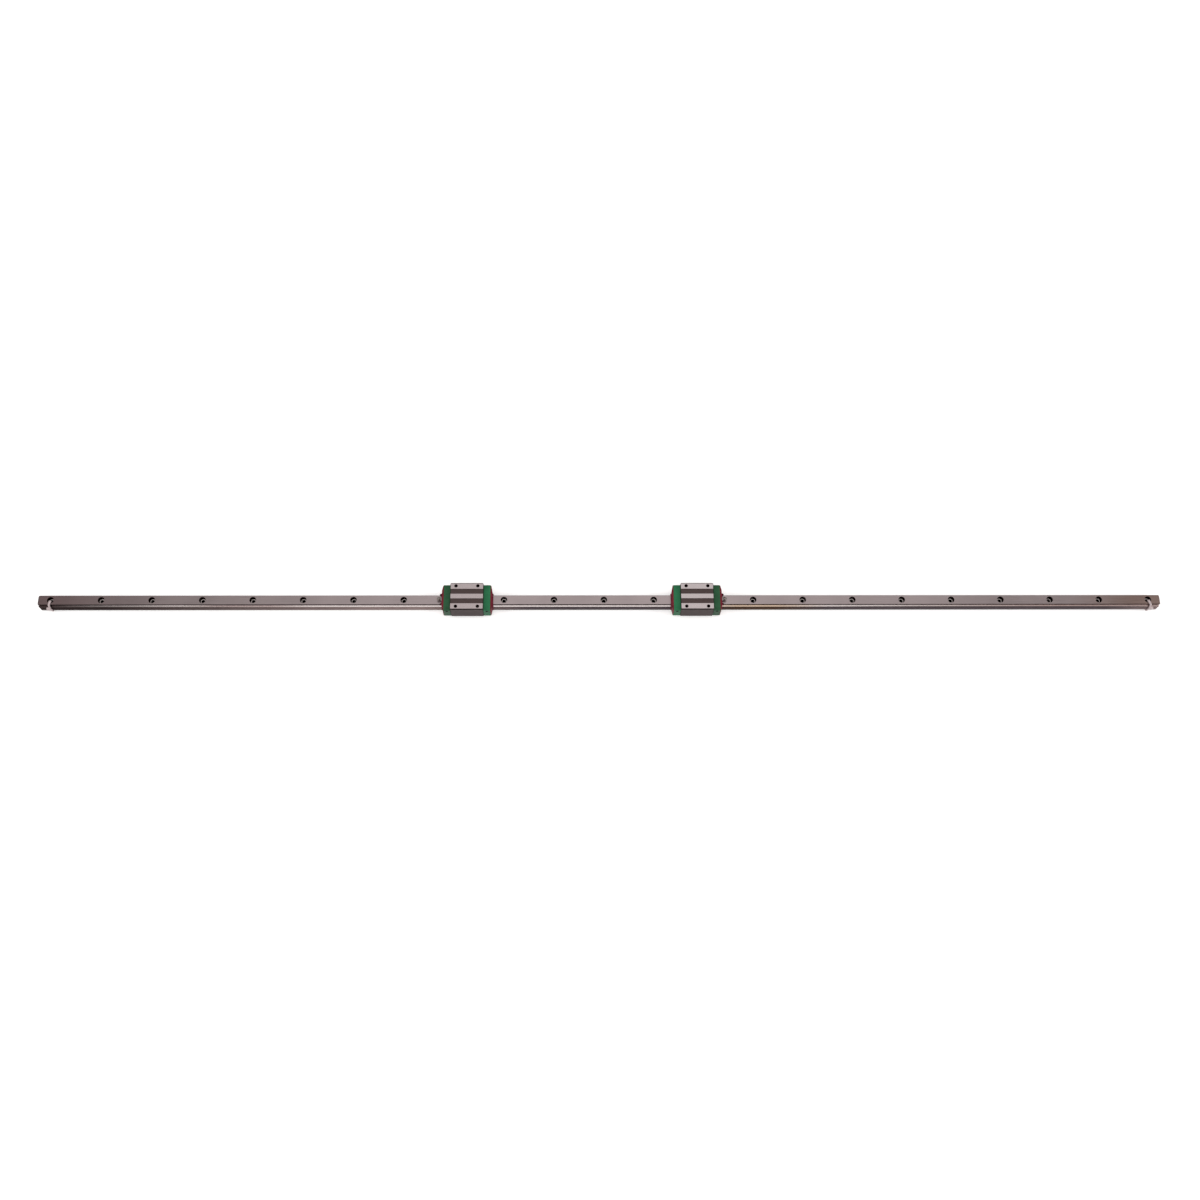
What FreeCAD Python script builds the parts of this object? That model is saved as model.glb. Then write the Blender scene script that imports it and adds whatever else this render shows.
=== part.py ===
"""Profiled ball guide rail with two narrow carriages and a cable tie through each end hole.

All sizes are in millimetres. X runs along the rail, Z is up, and the front of the rail faces -Y.
Sections are drawn in the YZ plane with the rail's underside at height 0, and every piece is raised
at the end, because the straps of the cable ties pass under the rail and lie on the floor.
"""

import FreeCAD
import Part
import math
import os

Vector = FreeCAD.Vector
X_AXIS = Vector(1, 0, 0)
Z_AXIS = Vector(0, 0, 1)

# Rail
HOLE_PITCH = 60.0
HOLE_COUNT = 23
END_DISTANCE = 15.0
RAIL_WIDTH = 15.0
RAIL_HEIGHT = 15.0
BASE_SLOPE = 0.95
BASE_CHAMFER = 0.6
TOP_CHAMFER = 0.3
END_CHAMFER = 0.4
END_CORNER = 2.6
HOLE_D = 4.5
COUNTERBORE_D = 7.5
COUNTERBORE_DEPTH = 5.3
HOLE_BREAK = 0.2

# Balls and their tracks
BALL_D = 3.175
BALL_GAP = 0.225
TRACK_PLAY = 0.05
UPPER_ROW_DROP = 3.2
ROW_SPACING = 4.8
LOWER_ROW_RISE = 2.2
RETURN_PLAY = 0.2
RETURN_STEP_OUT = 4.7
UPPER_RETURN_RISE = 1.7
LOWER_RETURN_RISE = 1.4

# Carriage block
LEFT_CARRIAGE_X = -163.8
RIGHT_CARRIAGE_X = 111.5
BLOCK_LENGTH = 39.4
BLOCK_WIDTH = 34.0
BLOCK_ABOVE_RAIL = 13.0
BLOCK_EDGE = 1.0
BLOCK_LOWER_CHAMFER = 0.6
CENTRE_LAND = 6.0
TOP_GROOVE_WIDTH = 6.2
TOP_GROOVE_DEPTH = 0.8
CEILING_PLAY = 1.2
CHANNEL_PLAY = 0.6
LIP_PLAY = 0.5
LIP_DROP = 0.5
TAP_SPACING_X = 26.0
TAP_EDGE = 4.0
TAP_DRILL_D = 3.3
TAP_DEPTH = 6.0
TAP_MOUTH_D = 4.2
DRILL_TIP_ANGLE = 118.0

# End caps and end seals
CAP_LENGTH = 8.2
CAP_SIDE_STEP = 0.6
CAP_TOP_STEP = 5.2
CAP_BOTTOM_STEP = 0.2
CAP_LOWER_CHAMFER = 0.5
CAP_CORNER_R = 1.5
CAP_RAIL_PLAY = 0.5
SIDE_PORT_D = 2.6
SIDE_PORT_DEPTH = 2.5
GREASE_DROP = 3.3
SEAL_PLATE = 2.2
SEAL_BEVEL_DEPTH = 1.4
SEAL_BEVEL_WIDTH = 7.0
SEAL_INSET = 0.4
SEAL_RIM = 0.9
SEAL_RIM_WALL = 1.9
SEAL_RAIL_PLAY = 0.25
SCREW_SIDE_EDGE = 6.1
SCREW_TOP_EDGE = 4.0
SCREW_D = 2.5
SCREW_HEAD_D = 4.2
SCREW_HEAD_PLAY = 0.2
SCREW_SEAT = 0.9
SCREW_HOLE_PLAY = 0.1
SCREW_TAP_D = 2.1
SCREW_TAP_DEPTH = 6.0

# Grease nipple, bottom seals and ball retainers
NIPPLE_SHANK_D = 3.2
NIPPLE_SHANK_LENGTH = 6.0
NIPPLE_HEX = 4.5
NIPPLE_HEX_LENGTH = 1.6
NIPPLE_NECK_D = 2.6
NIPPLE_NECK_LENGTH = 0.8
NIPPLE_SHOULDER_LENGTH = 0.8
NIPPLE_HEAD_D = 4.0
NIPPLE_HEAD_LENGTH = 1.2
NIPPLE_NOSE_LENGTH = 1.7
NIPPLE_TIP_D = 1.8
BOTTOM_SEAL_THICKNESS = 0.7
BOTTOM_SEAL_WIDTH = 5.7
BOTTOM_SEAL_PLAY = 0.3
RETAINER_PLAY = 0.4

# Cable ties
STRAP_WIDTH = 2.5
STRAP_THICKNESS = 1.0
STRAP_SLACK = 0.2
TIE_HEAD_WIDTH = 5.0
TIE_HEAD_HEIGHT = 4.6
TIE_HEAD_DEPTH = 2.8
TIE_HEAD_CHAMFER = 0.6
LEFT_TIE_TURN = -8.0
RIGHT_TIE_TURN = 30.0

# How far a cutting shape reaches past the face it goes through
PAST = 1.0

# Sizes that follow from the ones above
RAIL_LENGTH = HOLE_PITCH * (HOLE_COUNT - 1) + 2 * END_DISTANCE
RAIL_HALF = RAIL_WIDTH / 2
SEAT_Z = RAIL_HEIGHT - COUNTERBORE_DEPTH
BALL_R = BALL_D / 2
BALL_PITCH = BALL_D + BALL_GAP
BALLS_PER_ROW = int((BLOCK_LENGTH - BALL_D) / BALL_PITCH) + 1
TRACK_R = BALL_R + TRACK_PLAY
RETURN_R = BALL_R + RETURN_PLAY
UPPER_ROW_Z = RAIL_HEIGHT - UPPER_ROW_DROP
LOWER_ROW_Z = UPPER_ROW_Z - ROW_SPACING
BASE_SIDE_HEIGHT = LOWER_ROW_Z - LOWER_ROW_RISE
RETURN_Y = RAIL_HALF + RETURN_STEP_OUT
UPPER_RETURN_Z = UPPER_ROW_Z + UPPER_RETURN_RISE
LOWER_RETURN_Z = LOWER_ROW_Z + LOWER_RETURN_RISE
NECK_HALF = RAIL_HALF - TRACK_R
NOSE_Z = (UPPER_ROW_Z + LOWER_ROW_Z) / 2
CARRIAGE_HEIGHT = RAIL_HEIGHT + BLOCK_ABOVE_RAIL
BLOCK_HALF = BLOCK_WIDTH / 2
BLOCK_BOTTOM = BASE_SIDE_HEIGHT - LIP_DROP
CHANNEL_CEILING = RAIL_HEIGHT + CEILING_PLAY
CHANNEL_WALL = RAIL_HALF + TRACK_R
CHANNEL_HALF = NECK_HALF + CHANNEL_PLAY
LIP_Y = RAIL_HALF + LIP_PLAY
TAP_Y = BLOCK_HALF - TAP_EDGE
CAP_HALF = BLOCK_HALF - CAP_SIDE_STEP
CAP_TOP = CARRIAGE_HEIGHT - CAP_TOP_STEP
CAP_BOTTOM = BLOCK_BOTTOM + CAP_BOTTOM_STEP
GREASE_Z = CAP_TOP - GREASE_DROP
SCREW_Y = CAP_HALF - SCREW_SIDE_EDGE
SCREW_Z = CAP_TOP - SCREW_TOP_EDGE
SCREW_HOLE_D = SCREW_D + 2 * SCREW_HOLE_PLAY
SCREW_RECESS_D = SCREW_HEAD_D + 2 * SCREW_HEAD_PLAY
SEAL_FACE = BLOCK_LENGTH / 2 + CAP_LENGTH
LIFT = STRAP_THICKNESS


def path(start, steps):
    """Edges in the YZ plane: a step of two numbers is a line, one of four is an arc by way of a point."""
    edges = []
    here = Vector(0, start[0], start[1])
    for step in steps:
        there = Vector(0, step[-2], step[-1])
        if len(step) == 4:
            edges.append(Part.Arc(here, Vector(0, step[0], step[1]), there).toShape())
        else:
            edges.append(Part.makeLine(here, there))
        here = there
    return edges


def even_wire(start, steps):
    """A closed outline that is the same on both sides of Y = 0, from the half on the +Y side."""
    half = path(start, steps)
    other = [edge.mirror(Vector(0, 0, 0), Vector(0, 1, 0)) for edge in half]
    end = steps[-1][-2:]
    close = path((-start[0], start[1]), [start]) + path(end, [(-end[0], end[1])])
    return Part.Wire(Part.__sortEdges__(half + other + close))


def on_circle(y, z, radius, degrees):
    """A point of a circle in the YZ plane, with the angle measured from +Y towards +Z."""
    turn = math.radians(degrees)
    return (y + radius * math.cos(turn), z + radius * math.sin(turn))


def prism(wire, x0, x1):
    """The solid between two planes across X."""
    face = Part.Face(wire)
    face.translate(Vector(x0, 0, 0))
    return face.extrude(Vector(x1 - x0, 0, 0))


def upright(corners):
    """A tall solid from its outline seen from above, as (x, y) corners."""
    outline = [Vector(x, y, -PAST) for x, y in corners]
    face = Part.Face(Part.makePolygon(outline + outline[:1]))
    return face.extrude(Z_AXIS * (CARRIAGE_HEIGHT + 2 * PAST))


def cut_corners(end, half, cut):
    """A tall solid that is an oblong with its four corners cut off, seen from above."""
    return upright([
        (-end, -half + cut),
        (-end + cut, -half),
        (end - cut, -half),
        (end, -half + cut),
        (end, half - cut),
        (end - cut, half),
        (-end + cut, half),
        (-end, half - cut),
    ])


def rod(diameter, x0, x1, y, z):
    """A round bar along X."""
    return Part.makeCylinder(diameter / 2, x1 - x0, Vector(x0, y, z), X_AXIS)


def turned(points, position, axis):
    """A turned solid from (radius, distance) points, with its axis through a position."""
    corners = [Vector(radius, 0, along) for radius, along in points]
    outline = Part.makePolygon(corners + corners[:1])
    solid = Part.Face(outline).revolve(Vector(0, 0, 0), Z_AXIS, 360)
    solid.Placement = FreeCAD.Placement(position, FreeCAD.Rotation(Z_AXIS, axis))
    return solid


def hole_positions():
    """The X of each rail hole, from left to right."""
    first = -HOLE_PITCH * (HOLE_COUNT - 1) / 2
    return [first + HOLE_PITCH * number for number in range(HOLE_COUNT)]


# The rail's section has a wide foot, a narrow neck and two quarter-round ball tracks a side. The upright
# corners of its ends are ground off.
def rail_wire():
    lower_track = on_circle(RAIL_HALF, LOWER_ROW_Z, TRACK_R, 135)
    upper_track = on_circle(RAIL_HALF, UPPER_ROW_Z, TRACK_R, 225)
    return even_wire((RAIL_HALF - BASE_CHAMFER, 0), [
        (RAIL_HALF, BASE_CHAMFER),
        (RAIL_HALF, BASE_SIDE_HEIGHT),
        (NECK_HALF, BASE_SIDE_HEIGHT + BASE_SLOPE),
        (NECK_HALF, LOWER_ROW_Z),
        (*lower_track, RAIL_HALF, LOWER_ROW_Z + TRACK_R),
        (RAIL_HALF, UPPER_ROW_Z - TRACK_R),
        (*upper_track, NECK_HALF, UPPER_ROW_Z),
        (NECK_HALF, RAIL_HEIGHT - TOP_CHAMFER),
        (NECK_HALF - TOP_CHAMFER, RAIL_HEIGHT),
    ])


def make_rail():
    bar = prism(rail_wire(), -RAIL_LENGTH / 2, RAIL_LENGTH / 2)
    ends = [e for e in bar.Edges if abs(abs(e.CenterOfMass.x) - RAIL_LENGTH / 2) < 1e-6]
    bar = bar.makeChamfer(END_CHAMFER, ends)
    bar = bar.common(cut_corners(RAIL_LENGTH / 2, RAIL_HALF, END_CORNER))
    holes = []
    for x in hole_positions():
        holes.append(turned([
            (0, -PAST),
            (HOLE_D / 2, -PAST),
            (HOLE_D / 2, SEAT_Z),
            (COUNTERBORE_D / 2, SEAT_Z),
            (COUNTERBORE_D / 2, RAIL_HEIGHT - HOLE_BREAK),
            (COUNTERBORE_D / 2 + HOLE_BREAK, RAIL_HEIGHT),
            (COUNTERBORE_D / 2 + HOLE_BREAK, RAIL_HEIGHT + PAST),
            (0, RAIL_HEIGHT + PAST),
        ], Vector(x, 0, 0), Z_AXIS))
    return bar.cut(Part.makeCompound(holes))


# The block is a saddle: three ground lands on top, a channel that follows the rail underneath, and
# inside each leg two long holes that bring the balls back. Its upright corners are cut back to the
# width of the caps.
def make_block():
    half_land = CENTRE_LAND / 2
    outer_land = half_land + TOP_GROOVE_WIDTH
    groove_floor = CARRIAGE_HEIGHT - TOP_GROOVE_DEPTH
    mouth = math.degrees(math.acos((CHANNEL_HALF - RAIL_HALF) / TRACK_R))
    lip = math.degrees(math.acos((LIP_Y - RAIL_HALF) / TRACK_R))
    saddle = even_wire((CHANNEL_HALF, CHANNEL_CEILING), [
        on_circle(RAIL_HALF, UPPER_ROW_Z, TRACK_R, mouth),
        (*on_circle(RAIL_HALF, UPPER_ROW_Z, TRACK_R, mouth / 2), CHANNEL_WALL, UPPER_ROW_Z),
        (CHANNEL_WALL, LOWER_ROW_Z),
        (*on_circle(RAIL_HALF, LOWER_ROW_Z, TRACK_R, -lip / 2),
         *on_circle(RAIL_HALF, LOWER_ROW_Z, TRACK_R, -lip)),
        (LIP_Y, BLOCK_BOTTOM),
        (BLOCK_HALF - BLOCK_LOWER_CHAMFER, BLOCK_BOTTOM),
        (BLOCK_HALF, BLOCK_BOTTOM + BLOCK_LOWER_CHAMFER),
        (BLOCK_HALF, CARRIAGE_HEIGHT - BLOCK_EDGE),
        (BLOCK_HALF - BLOCK_EDGE, CARRIAGE_HEIGHT),
        (outer_land, CARRIAGE_HEIGHT),
        (outer_land, groove_floor),
        (half_land, groove_floor),
        (half_land, CARRIAGE_HEIGHT),
    ])
    block = prism(saddle, -BLOCK_LENGTH / 2, BLOCK_LENGTH / 2)
    block = block.common(cut_corners(BLOCK_LENGTH / 2, BLOCK_HALF, CAP_SIDE_STEP))
    tip = TAP_DRILL_D / 2 / math.tan(math.radians(DRILL_TIP_ANGLE / 2))
    sink = (TAP_MOUTH_D - TAP_DRILL_D) / 2
    cuts = []
    for side_x in (-1, 1):
        for side_y in (-1, 1):
            cuts.append(turned([
                (0, -TAP_DEPTH - tip),
                (TAP_DRILL_D / 2, -TAP_DEPTH),
                (TAP_DRILL_D / 2, -sink),
                (TAP_MOUTH_D / 2, 0),
                (TAP_MOUTH_D / 2, PAST),
                (0, PAST),
            ], Vector(side_x * TAP_SPACING_X / 2, side_y * TAP_Y, CARRIAGE_HEIGHT), Z_AXIS))
            cuts.append(turned([
                (0, -SCREW_TAP_DEPTH),
                (SCREW_TAP_D / 2, -SCREW_TAP_DEPTH),
                (SCREW_TAP_D / 2, PAST),
                (0, PAST),
            ], Vector(side_x * BLOCK_LENGTH / 2, side_y * SCREW_Y, SCREW_Z), X_AXIS * side_x))
    for side_y in (-1, 1):
        for z in (UPPER_RETURN_Z, LOWER_RETURN_Z):
            cuts.append(rod(2 * RETURN_R, -BLOCK_LENGTH, BLOCK_LENGTH, side_y * RETURN_Y, z))
    return block.cut(Part.makeCompound(cuts))


def cap_wire(inset):
    """The end view of a cap, drawn in by an inset, with its two upper corners rounded."""
    half = CAP_HALF - inset
    top = CAP_TOP - inset
    bottom = CAP_BOTTOM + inset
    corner = on_circle(half - CAP_CORNER_R, top - CAP_CORNER_R, CAP_CORNER_R, 45)
    return even_wire((half - CAP_LOWER_CHAMFER, bottom), [
        (half, bottom + CAP_LOWER_CHAMFER),
        (half, top - CAP_CORNER_R),
        (*corner, half - CAP_CORNER_R, top),
    ])


# A cap closes one end of the block. On the side towards the block it has a half-ring channel for each
# row of balls, which turns the row round into its return hole.
def make_cap():
    x0 = BLOCK_LENGTH / 2
    x1 = x0 + CAP_LENGTH
    cap = prism(cap_wire(0), x0, x1)
    cuts = [prism(rail_wire().makeOffset2D(CAP_RAIL_PLAY), x0 - PAST, x1 + PAST)]
    cuts.append(rod(NIPPLE_SHANK_D, x1 - NIPPLE_SHANK_LENGTH, x1 + PAST, 0, GREASE_Z))
    for side in (-1, 1):
        cuts.append(rod(SCREW_HOLE_D, x0 - PAST, x1 + PAST, side * SCREW_Y, SCREW_Z))
        port = Vector((x0 + x1) / 2, side * CAP_HALF, GREASE_Z)
        cuts.append(Part.makeCylinder(SIDE_PORT_D / 2, SIDE_PORT_DEPTH, port, Vector(0, -side, 0)))
        for row_z, return_z in ((UPPER_ROW_Z, UPPER_RETURN_Z), (LOWER_ROW_Z, LOWER_RETURN_Z)):
            across = Vector(0, side * RETURN_STEP_OUT, return_z - row_z)
            middle = Vector(x0, side * (RETURN_Y + RAIL_HALF) / 2, (row_z + return_z) / 2)
            cuts.append(Part.makeTorus(across.Length / 2, RETURN_R, middle, X_AXIS.cross(across)))
    for cut in cuts:
        cap = cap.cut(cut)
    return cap


# A seal is a plate over the cap, bevelled towards its two sides, with a raised rim round the rail and a
# recess for the head of each screw.
def make_seal():
    x0 = SEAL_FACE
    x1 = x0 + SEAL_PLATE
    x2 = x1 + SEAL_RIM
    half = CAP_HALF - SEAL_INSET
    flat = half - SEAL_BEVEL_WIDTH
    plate = prism(cap_wire(SEAL_INSET), x0, x1).common(upright([
        (x0 - PAST, -half),
        (x1 - SEAL_BEVEL_DEPTH, -half),
        (x1, -flat),
        (x1, flat),
        (x1 - SEAL_BEVEL_DEPTH, half),
        (x0 - PAST, half),
    ]))
    rim = prism(rail_wire().makeOffset2D(SEAL_RIM_WALL), x0, x2)
    plate_bottom = CAP_BOTTOM + SEAL_INSET
    under = Part.makeBox(x2 - x0, BLOCK_WIDTH, BLOCK_WIDTH,
                         Vector(x0, -BLOCK_HALF, plate_bottom - BLOCK_WIDTH))
    seal = plate.fuse(rim.cut(under))
    seal = seal.cut(prism(rail_wire().makeOffset2D(SEAL_RAIL_PLAY), x0 - PAST, x2 + PAST))
    seal = seal.cut(rod(NIPPLE_SHANK_D, x0 - PAST, x1 + PAST, 0, GREASE_Z))
    for side in (-1, 1):
        seal = seal.cut(rod(SCREW_HOLE_D, x0 - PAST, x1 + PAST, side * SCREW_Y, SCREW_Z))
        seal = seal.cut(rod(SCREW_RECESS_D, x0 + SCREW_SEAT, x1 + PAST, side * SCREW_Y, SCREW_Z))
    return seal.removeSplitter()


def make_nipple():
    """A grease nipple with a hexagon against the seal, a neck and a tapered head."""
    face = SEAL_FACE + SEAL_PLATE
    corners = []
    for number in range(7):
        y, z = on_circle(0, GREASE_Z, NIPPLE_HEX / math.sqrt(3), 60 * number)
        corners.append(Vector(0, y, z))
    hexagon = prism(Part.makePolygon(corners), face, face + NIPPLE_HEX_LENGTH)
    shank_end = -SEAL_PLATE - NIPPLE_SHANK_LENGTH
    neck_end = NIPPLE_HEX_LENGTH + NIPPLE_NECK_LENGTH
    head_start = neck_end + NIPPLE_SHOULDER_LENGTH
    head_end = head_start + NIPPLE_HEAD_LENGTH
    tip = head_end + NIPPLE_NOSE_LENGTH
    stem = turned([
        (0, shank_end),
        (NIPPLE_SHANK_D / 2, shank_end),
        (NIPPLE_SHANK_D / 2, 0),
        (NIPPLE_NECK_D / 2, 0),
        (NIPPLE_NECK_D / 2, neck_end),
        (NIPPLE_HEAD_D / 2, head_start),
        (NIPPLE_HEAD_D / 2, head_end),
        (NIPPLE_TIP_D / 2, tip),
        (0, tip),
    ], Vector(face, 0, GREASE_Z), X_AXIS)
    return stem.fuse(hexagon).removeSplitter()


def make_bottom_seals():
    """Two strips under the legs of the block, with their inner edges close to the rail's foot."""
    strips = []
    inner = RAIL_HALF + BOTTOM_SEAL_PLAY
    for y in (inner, -inner - BOTTOM_SEAL_WIDTH):
        corner = Vector(-BLOCK_LENGTH / 2, y, BLOCK_BOTTOM - BOTTOM_SEAL_THICKNESS)
        strips.append(Part.makeBox(BLOCK_LENGTH, BOTTOM_SEAL_WIDTH, BOTTOM_SEAL_THICKNESS, corner))
    return Part.makeCompound(strips)


def make_retainers():
    """Two strips between the rows, hollowed along both edges, which keep the balls in the block."""
    inner = RAIL_HALF + RETAINER_PLAY
    near = math.degrees(math.acos((inner - RAIL_HALF) / RETURN_R))
    far = math.degrees(math.acos((CHANNEL_WALL - RAIL_HALF) / RETURN_R))
    middle = (near + far) / 2
    edges = path(on_circle(RAIL_HALF, LOWER_ROW_Z, RETURN_R, near), [
        on_circle(RAIL_HALF, UPPER_ROW_Z, RETURN_R, -near),
        (*on_circle(RAIL_HALF, UPPER_ROW_Z, RETURN_R, -middle),
         *on_circle(RAIL_HALF, UPPER_ROW_Z, RETURN_R, -far)),
        on_circle(RAIL_HALF, LOWER_ROW_Z, RETURN_R, far),
        (*on_circle(RAIL_HALF, LOWER_ROW_Z, RETURN_R, middle),
         *on_circle(RAIL_HALF, LOWER_ROW_Z, RETURN_R, near)),
    ])
    strip = prism(Part.Wire(edges), -BLOCK_LENGTH / 2, BLOCK_LENGTH / 2)
    other = strip.mirror(Vector(0, 0, 0), Vector(0, 1, 0))
    return Part.makeCompound([strip, other])


def make_balls():
    """The balls that carry the load, in two rows on each side of the rail."""
    balls = []
    first = -BALL_PITCH * (BALLS_PER_ROW - 1) / 2
    for side in (-1, 1):
        for z in (LOWER_ROW_Z, UPPER_ROW_Z):
            for number in range(BALLS_PER_ROW):
                centre = Vector(first + BALL_PITCH * number, side * RAIL_HALF, z)
                balls.append(Part.makeSphere(BALL_R, centre))
    return Part.makeCompound(balls)


# A tie goes down through an end hole, under the rail, up its front and back over the top into the
# hole. Its loop is drawn in a plane through the hole's axis and turned about that axis. The head
# lies flat against the nose of the rail, where the turned strap meets it.
def make_tie(x, turn):
    lean = math.radians(abs(turn))
    half = STRAP_WIDTH / 2
    spread = STRAP_SLACK + half * math.sin(lean)
    front = (RAIL_HALF + spread) / math.cos(lean)
    shoulder = (NECK_HALF + spread) / math.cos(lean)
    over = RAIL_HEIGHT + STRAP_SLACK
    in_hole = math.sqrt((HOLE_D / 2 - STRAP_SLACK) ** 2 - half ** 2)
    in_mouth = math.sqrt((COUNTERBORE_D / 2 - STRAP_SLACK) ** 2 - half ** 2)
    loop = [
        (in_hole, 0),
        (front, 0),
        (front, UPPER_ROW_Z - TRACK_R),
        (shoulder, over),
        (in_mouth, over),
        (in_hole, SEAT_Z),
    ]
    corners = [Vector(0, y, z) for y, z in loop]
    inside = Part.makePolygon(corners + corners[:1])
    outside = inside.makeOffset2D(STRAP_THICKNESS)
    strap = prism(outside, -half, half).cut(prism(inside, -half, half))
    strap.rotate(Vector(0, 0, 0), Z_AXIS, 180 + turn)
    aside = math.copysign((front + STRAP_THICKNESS / 2) * math.sin(lean), turn)
    nearest = -RAIL_HALF - STRAP_SLACK
    head = Part.makeBox(TIE_HEAD_WIDTH, TIE_HEAD_DEPTH, TIE_HEAD_HEIGHT, Vector(
        aside - TIE_HEAD_WIDTH / 2, nearest - TIE_HEAD_DEPTH, NOSE_Z - TIE_HEAD_HEIGHT / 2))
    outer = [e for e in head.Edges if e.BoundBox.YMax < nearest - TIE_HEAD_DEPTH / 2]
    head = head.makeChamfer(TIE_HEAD_CHAMFER, outer)
    tie = strap.fuse(head).removeSplitter()
    tie.translate(Vector(x, 0, 0))
    return tie


def make_carriage(name, x, outer):
    """The named pieces of a carriage at a place on the rail; outer is the side with the nipple."""
    cap = make_cap()
    seal = make_seal()
    pieces = {
        "block": make_block(),
        "cap_outer": cap,
        "cap_inner": cap.mirror(Vector(0, 0, 0), X_AXIS),
        "seal_outer": seal,
        "seal_inner": seal.mirror(Vector(0, 0, 0), X_AXIS),
        "nipple": make_nipple(),
        "bottom_seals": make_bottom_seals(),
        "retainers": make_retainers(),
        "balls": make_balls(),
    }
    placed = {}
    for piece, shape in pieces.items():
        if outer < 0:
            shape = shape.mirror(Vector(0, 0, 0), X_AXIS)
        shape.translate(Vector(x, 0, 0))
        placed[name + "_" + piece] = shape
    return placed


nodes = {"rail": make_rail()}
nodes.update(make_carriage("left", LEFT_CARRIAGE_X, -1))
nodes.update(make_carriage("right", RIGHT_CARRIAGE_X, 1))
nodes["left_tie"] = make_tie(hole_positions()[0], LEFT_TIE_TURN)
nodes["right_tie"] = make_tie(hole_positions()[-1], RIGHT_TIE_TURN)

os.makedirs("parts", exist_ok=True)
for name, shape in nodes.items():
    shape.translate(Vector(0, 0, LIFT))
    shape.exportStep("parts/" + name + ".step")
    box = shape.BoundBox
    print(name, shape.isValid(), len(shape.Solids), round(shape.Volume, 2),
          [round(v, 2) for v in (box.XMin, box.XMax, box.YMin, box.YMax, box.ZMin, box.ZMax)])
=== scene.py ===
# %% [markdown]
# # A profiled guide rail with two ball carriages
# The rail is a long bar of ground bearing steel, 15 mm wide, with a counterbored hole every 60 mm. Two
# steel carriages run on it, each closed by a green cap and a red seal at both ends, and a white nylon
# tie through each end hole keeps the carriages from running off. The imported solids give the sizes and
# places. This lesson rebuilds the pieces whose edges and round holes have to stand a close look, adds the
# small fasteners and threads, and gives every surface its finish.

# %% Load the frame
import math

import bmesh
import bpy
from mathutils import Matrix, Vector


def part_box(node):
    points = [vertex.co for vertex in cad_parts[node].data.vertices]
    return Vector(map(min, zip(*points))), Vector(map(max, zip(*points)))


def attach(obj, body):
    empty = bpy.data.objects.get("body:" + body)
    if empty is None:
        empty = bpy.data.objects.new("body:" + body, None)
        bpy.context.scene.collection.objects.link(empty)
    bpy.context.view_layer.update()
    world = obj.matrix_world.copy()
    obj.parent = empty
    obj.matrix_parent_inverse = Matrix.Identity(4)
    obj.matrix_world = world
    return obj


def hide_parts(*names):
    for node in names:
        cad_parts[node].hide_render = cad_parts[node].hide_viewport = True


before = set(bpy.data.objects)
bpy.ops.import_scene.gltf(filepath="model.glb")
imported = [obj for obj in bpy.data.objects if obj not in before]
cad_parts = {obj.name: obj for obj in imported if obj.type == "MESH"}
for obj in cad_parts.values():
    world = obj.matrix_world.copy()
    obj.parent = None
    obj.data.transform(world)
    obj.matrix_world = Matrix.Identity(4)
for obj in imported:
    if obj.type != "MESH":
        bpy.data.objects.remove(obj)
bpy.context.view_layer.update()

scene = bpy.context.scene
MM = 0.001

# %% [markdown]
# ## Small tools
# A material or a Geometry Nodes tree is a set of nodes, so one function adds a node with its settings
# and links. Colours are written as hex values, as a paint maker gives them, and turned to linear light.

# %% Nodes and colours
def add_node(tree, kind, settings=None, inputs=None):
    """Adds a node. An input is either a plain value or the socket that feeds it."""
    node = tree.nodes.new(kind)
    for name, value in (settings or {}).items():
        setattr(node, name, value)
    for name, value in (inputs or {}).items():
        if isinstance(value, bpy.types.NodeSocket):
            tree.links.new(value, node.inputs[name])
        else:
            node.inputs[name].default_value = value
    return node


def colour(code):
    """A hex sRGB colour as linear RGBA."""
    parts = [int(code[i:i + 2], 16) / 255 for i in (1, 3, 5)]
    return [p / 12.92 if p <= 0.04045 else ((p + 0.055) / 1.055) ** 2.4 for p in parts] + [1.0]


# %% [markdown]
# ## Camera
# The photo looks down on the rail from about 70 degrees, from 1.7 m away, with the left end a little
# nearer. The camera is rolled by nearly the angle that it stands aside, which keeps the rail level.

# %% Camera
FRAME_PIXELS = 1200
FOCAL_PIXELS = 1400.5
DISTANCE = 1700.0
ELEVATION = 69.0
AZIMUTH = -3.535
ROLL = 3.262
TARGET = (-4.3, 5.5, 1.0)
SENSOR = 36.0


def aside(azimuth, elevation):
    """The direction from the rail to a viewer or lamp, with azimuth 0 in front of the rail."""
    turn, rise = math.radians(azimuth), math.radians(elevation)
    return Vector((math.sin(turn) * math.cos(rise), -math.cos(turn) * math.cos(rise), math.sin(rise)))


def facing(place, target):
    """The placement of something at a place whose -Z axis looks at a target."""
    away = Vector(place) - Vector(target)
    return Matrix.Translation(place) @ away.to_track_quat("Z", "Y").to_matrix().to_4x4()


camera = bpy.data.objects.new("camera", bpy.data.cameras.new("camera"))
scene.collection.objects.link(camera)
target = Vector(TARGET) * MM
place = target + aside(AZIMUTH, ELEVATION) * DISTANCE * MM
camera.matrix_world = facing(place, target) @ Matrix.Rotation(math.radians(ROLL), 4, "Z")
camera.data.sensor_width = SENSOR
camera.data.lens = SENSOR * FOCAL_PIXELS / FRAME_PIXELS
camera.data.clip_start = 0.02
scene.camera = camera
print("camera at", [round(v, 3) for v in place], "m, lens", round(camera.data.lens, 2), "mm")

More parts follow.
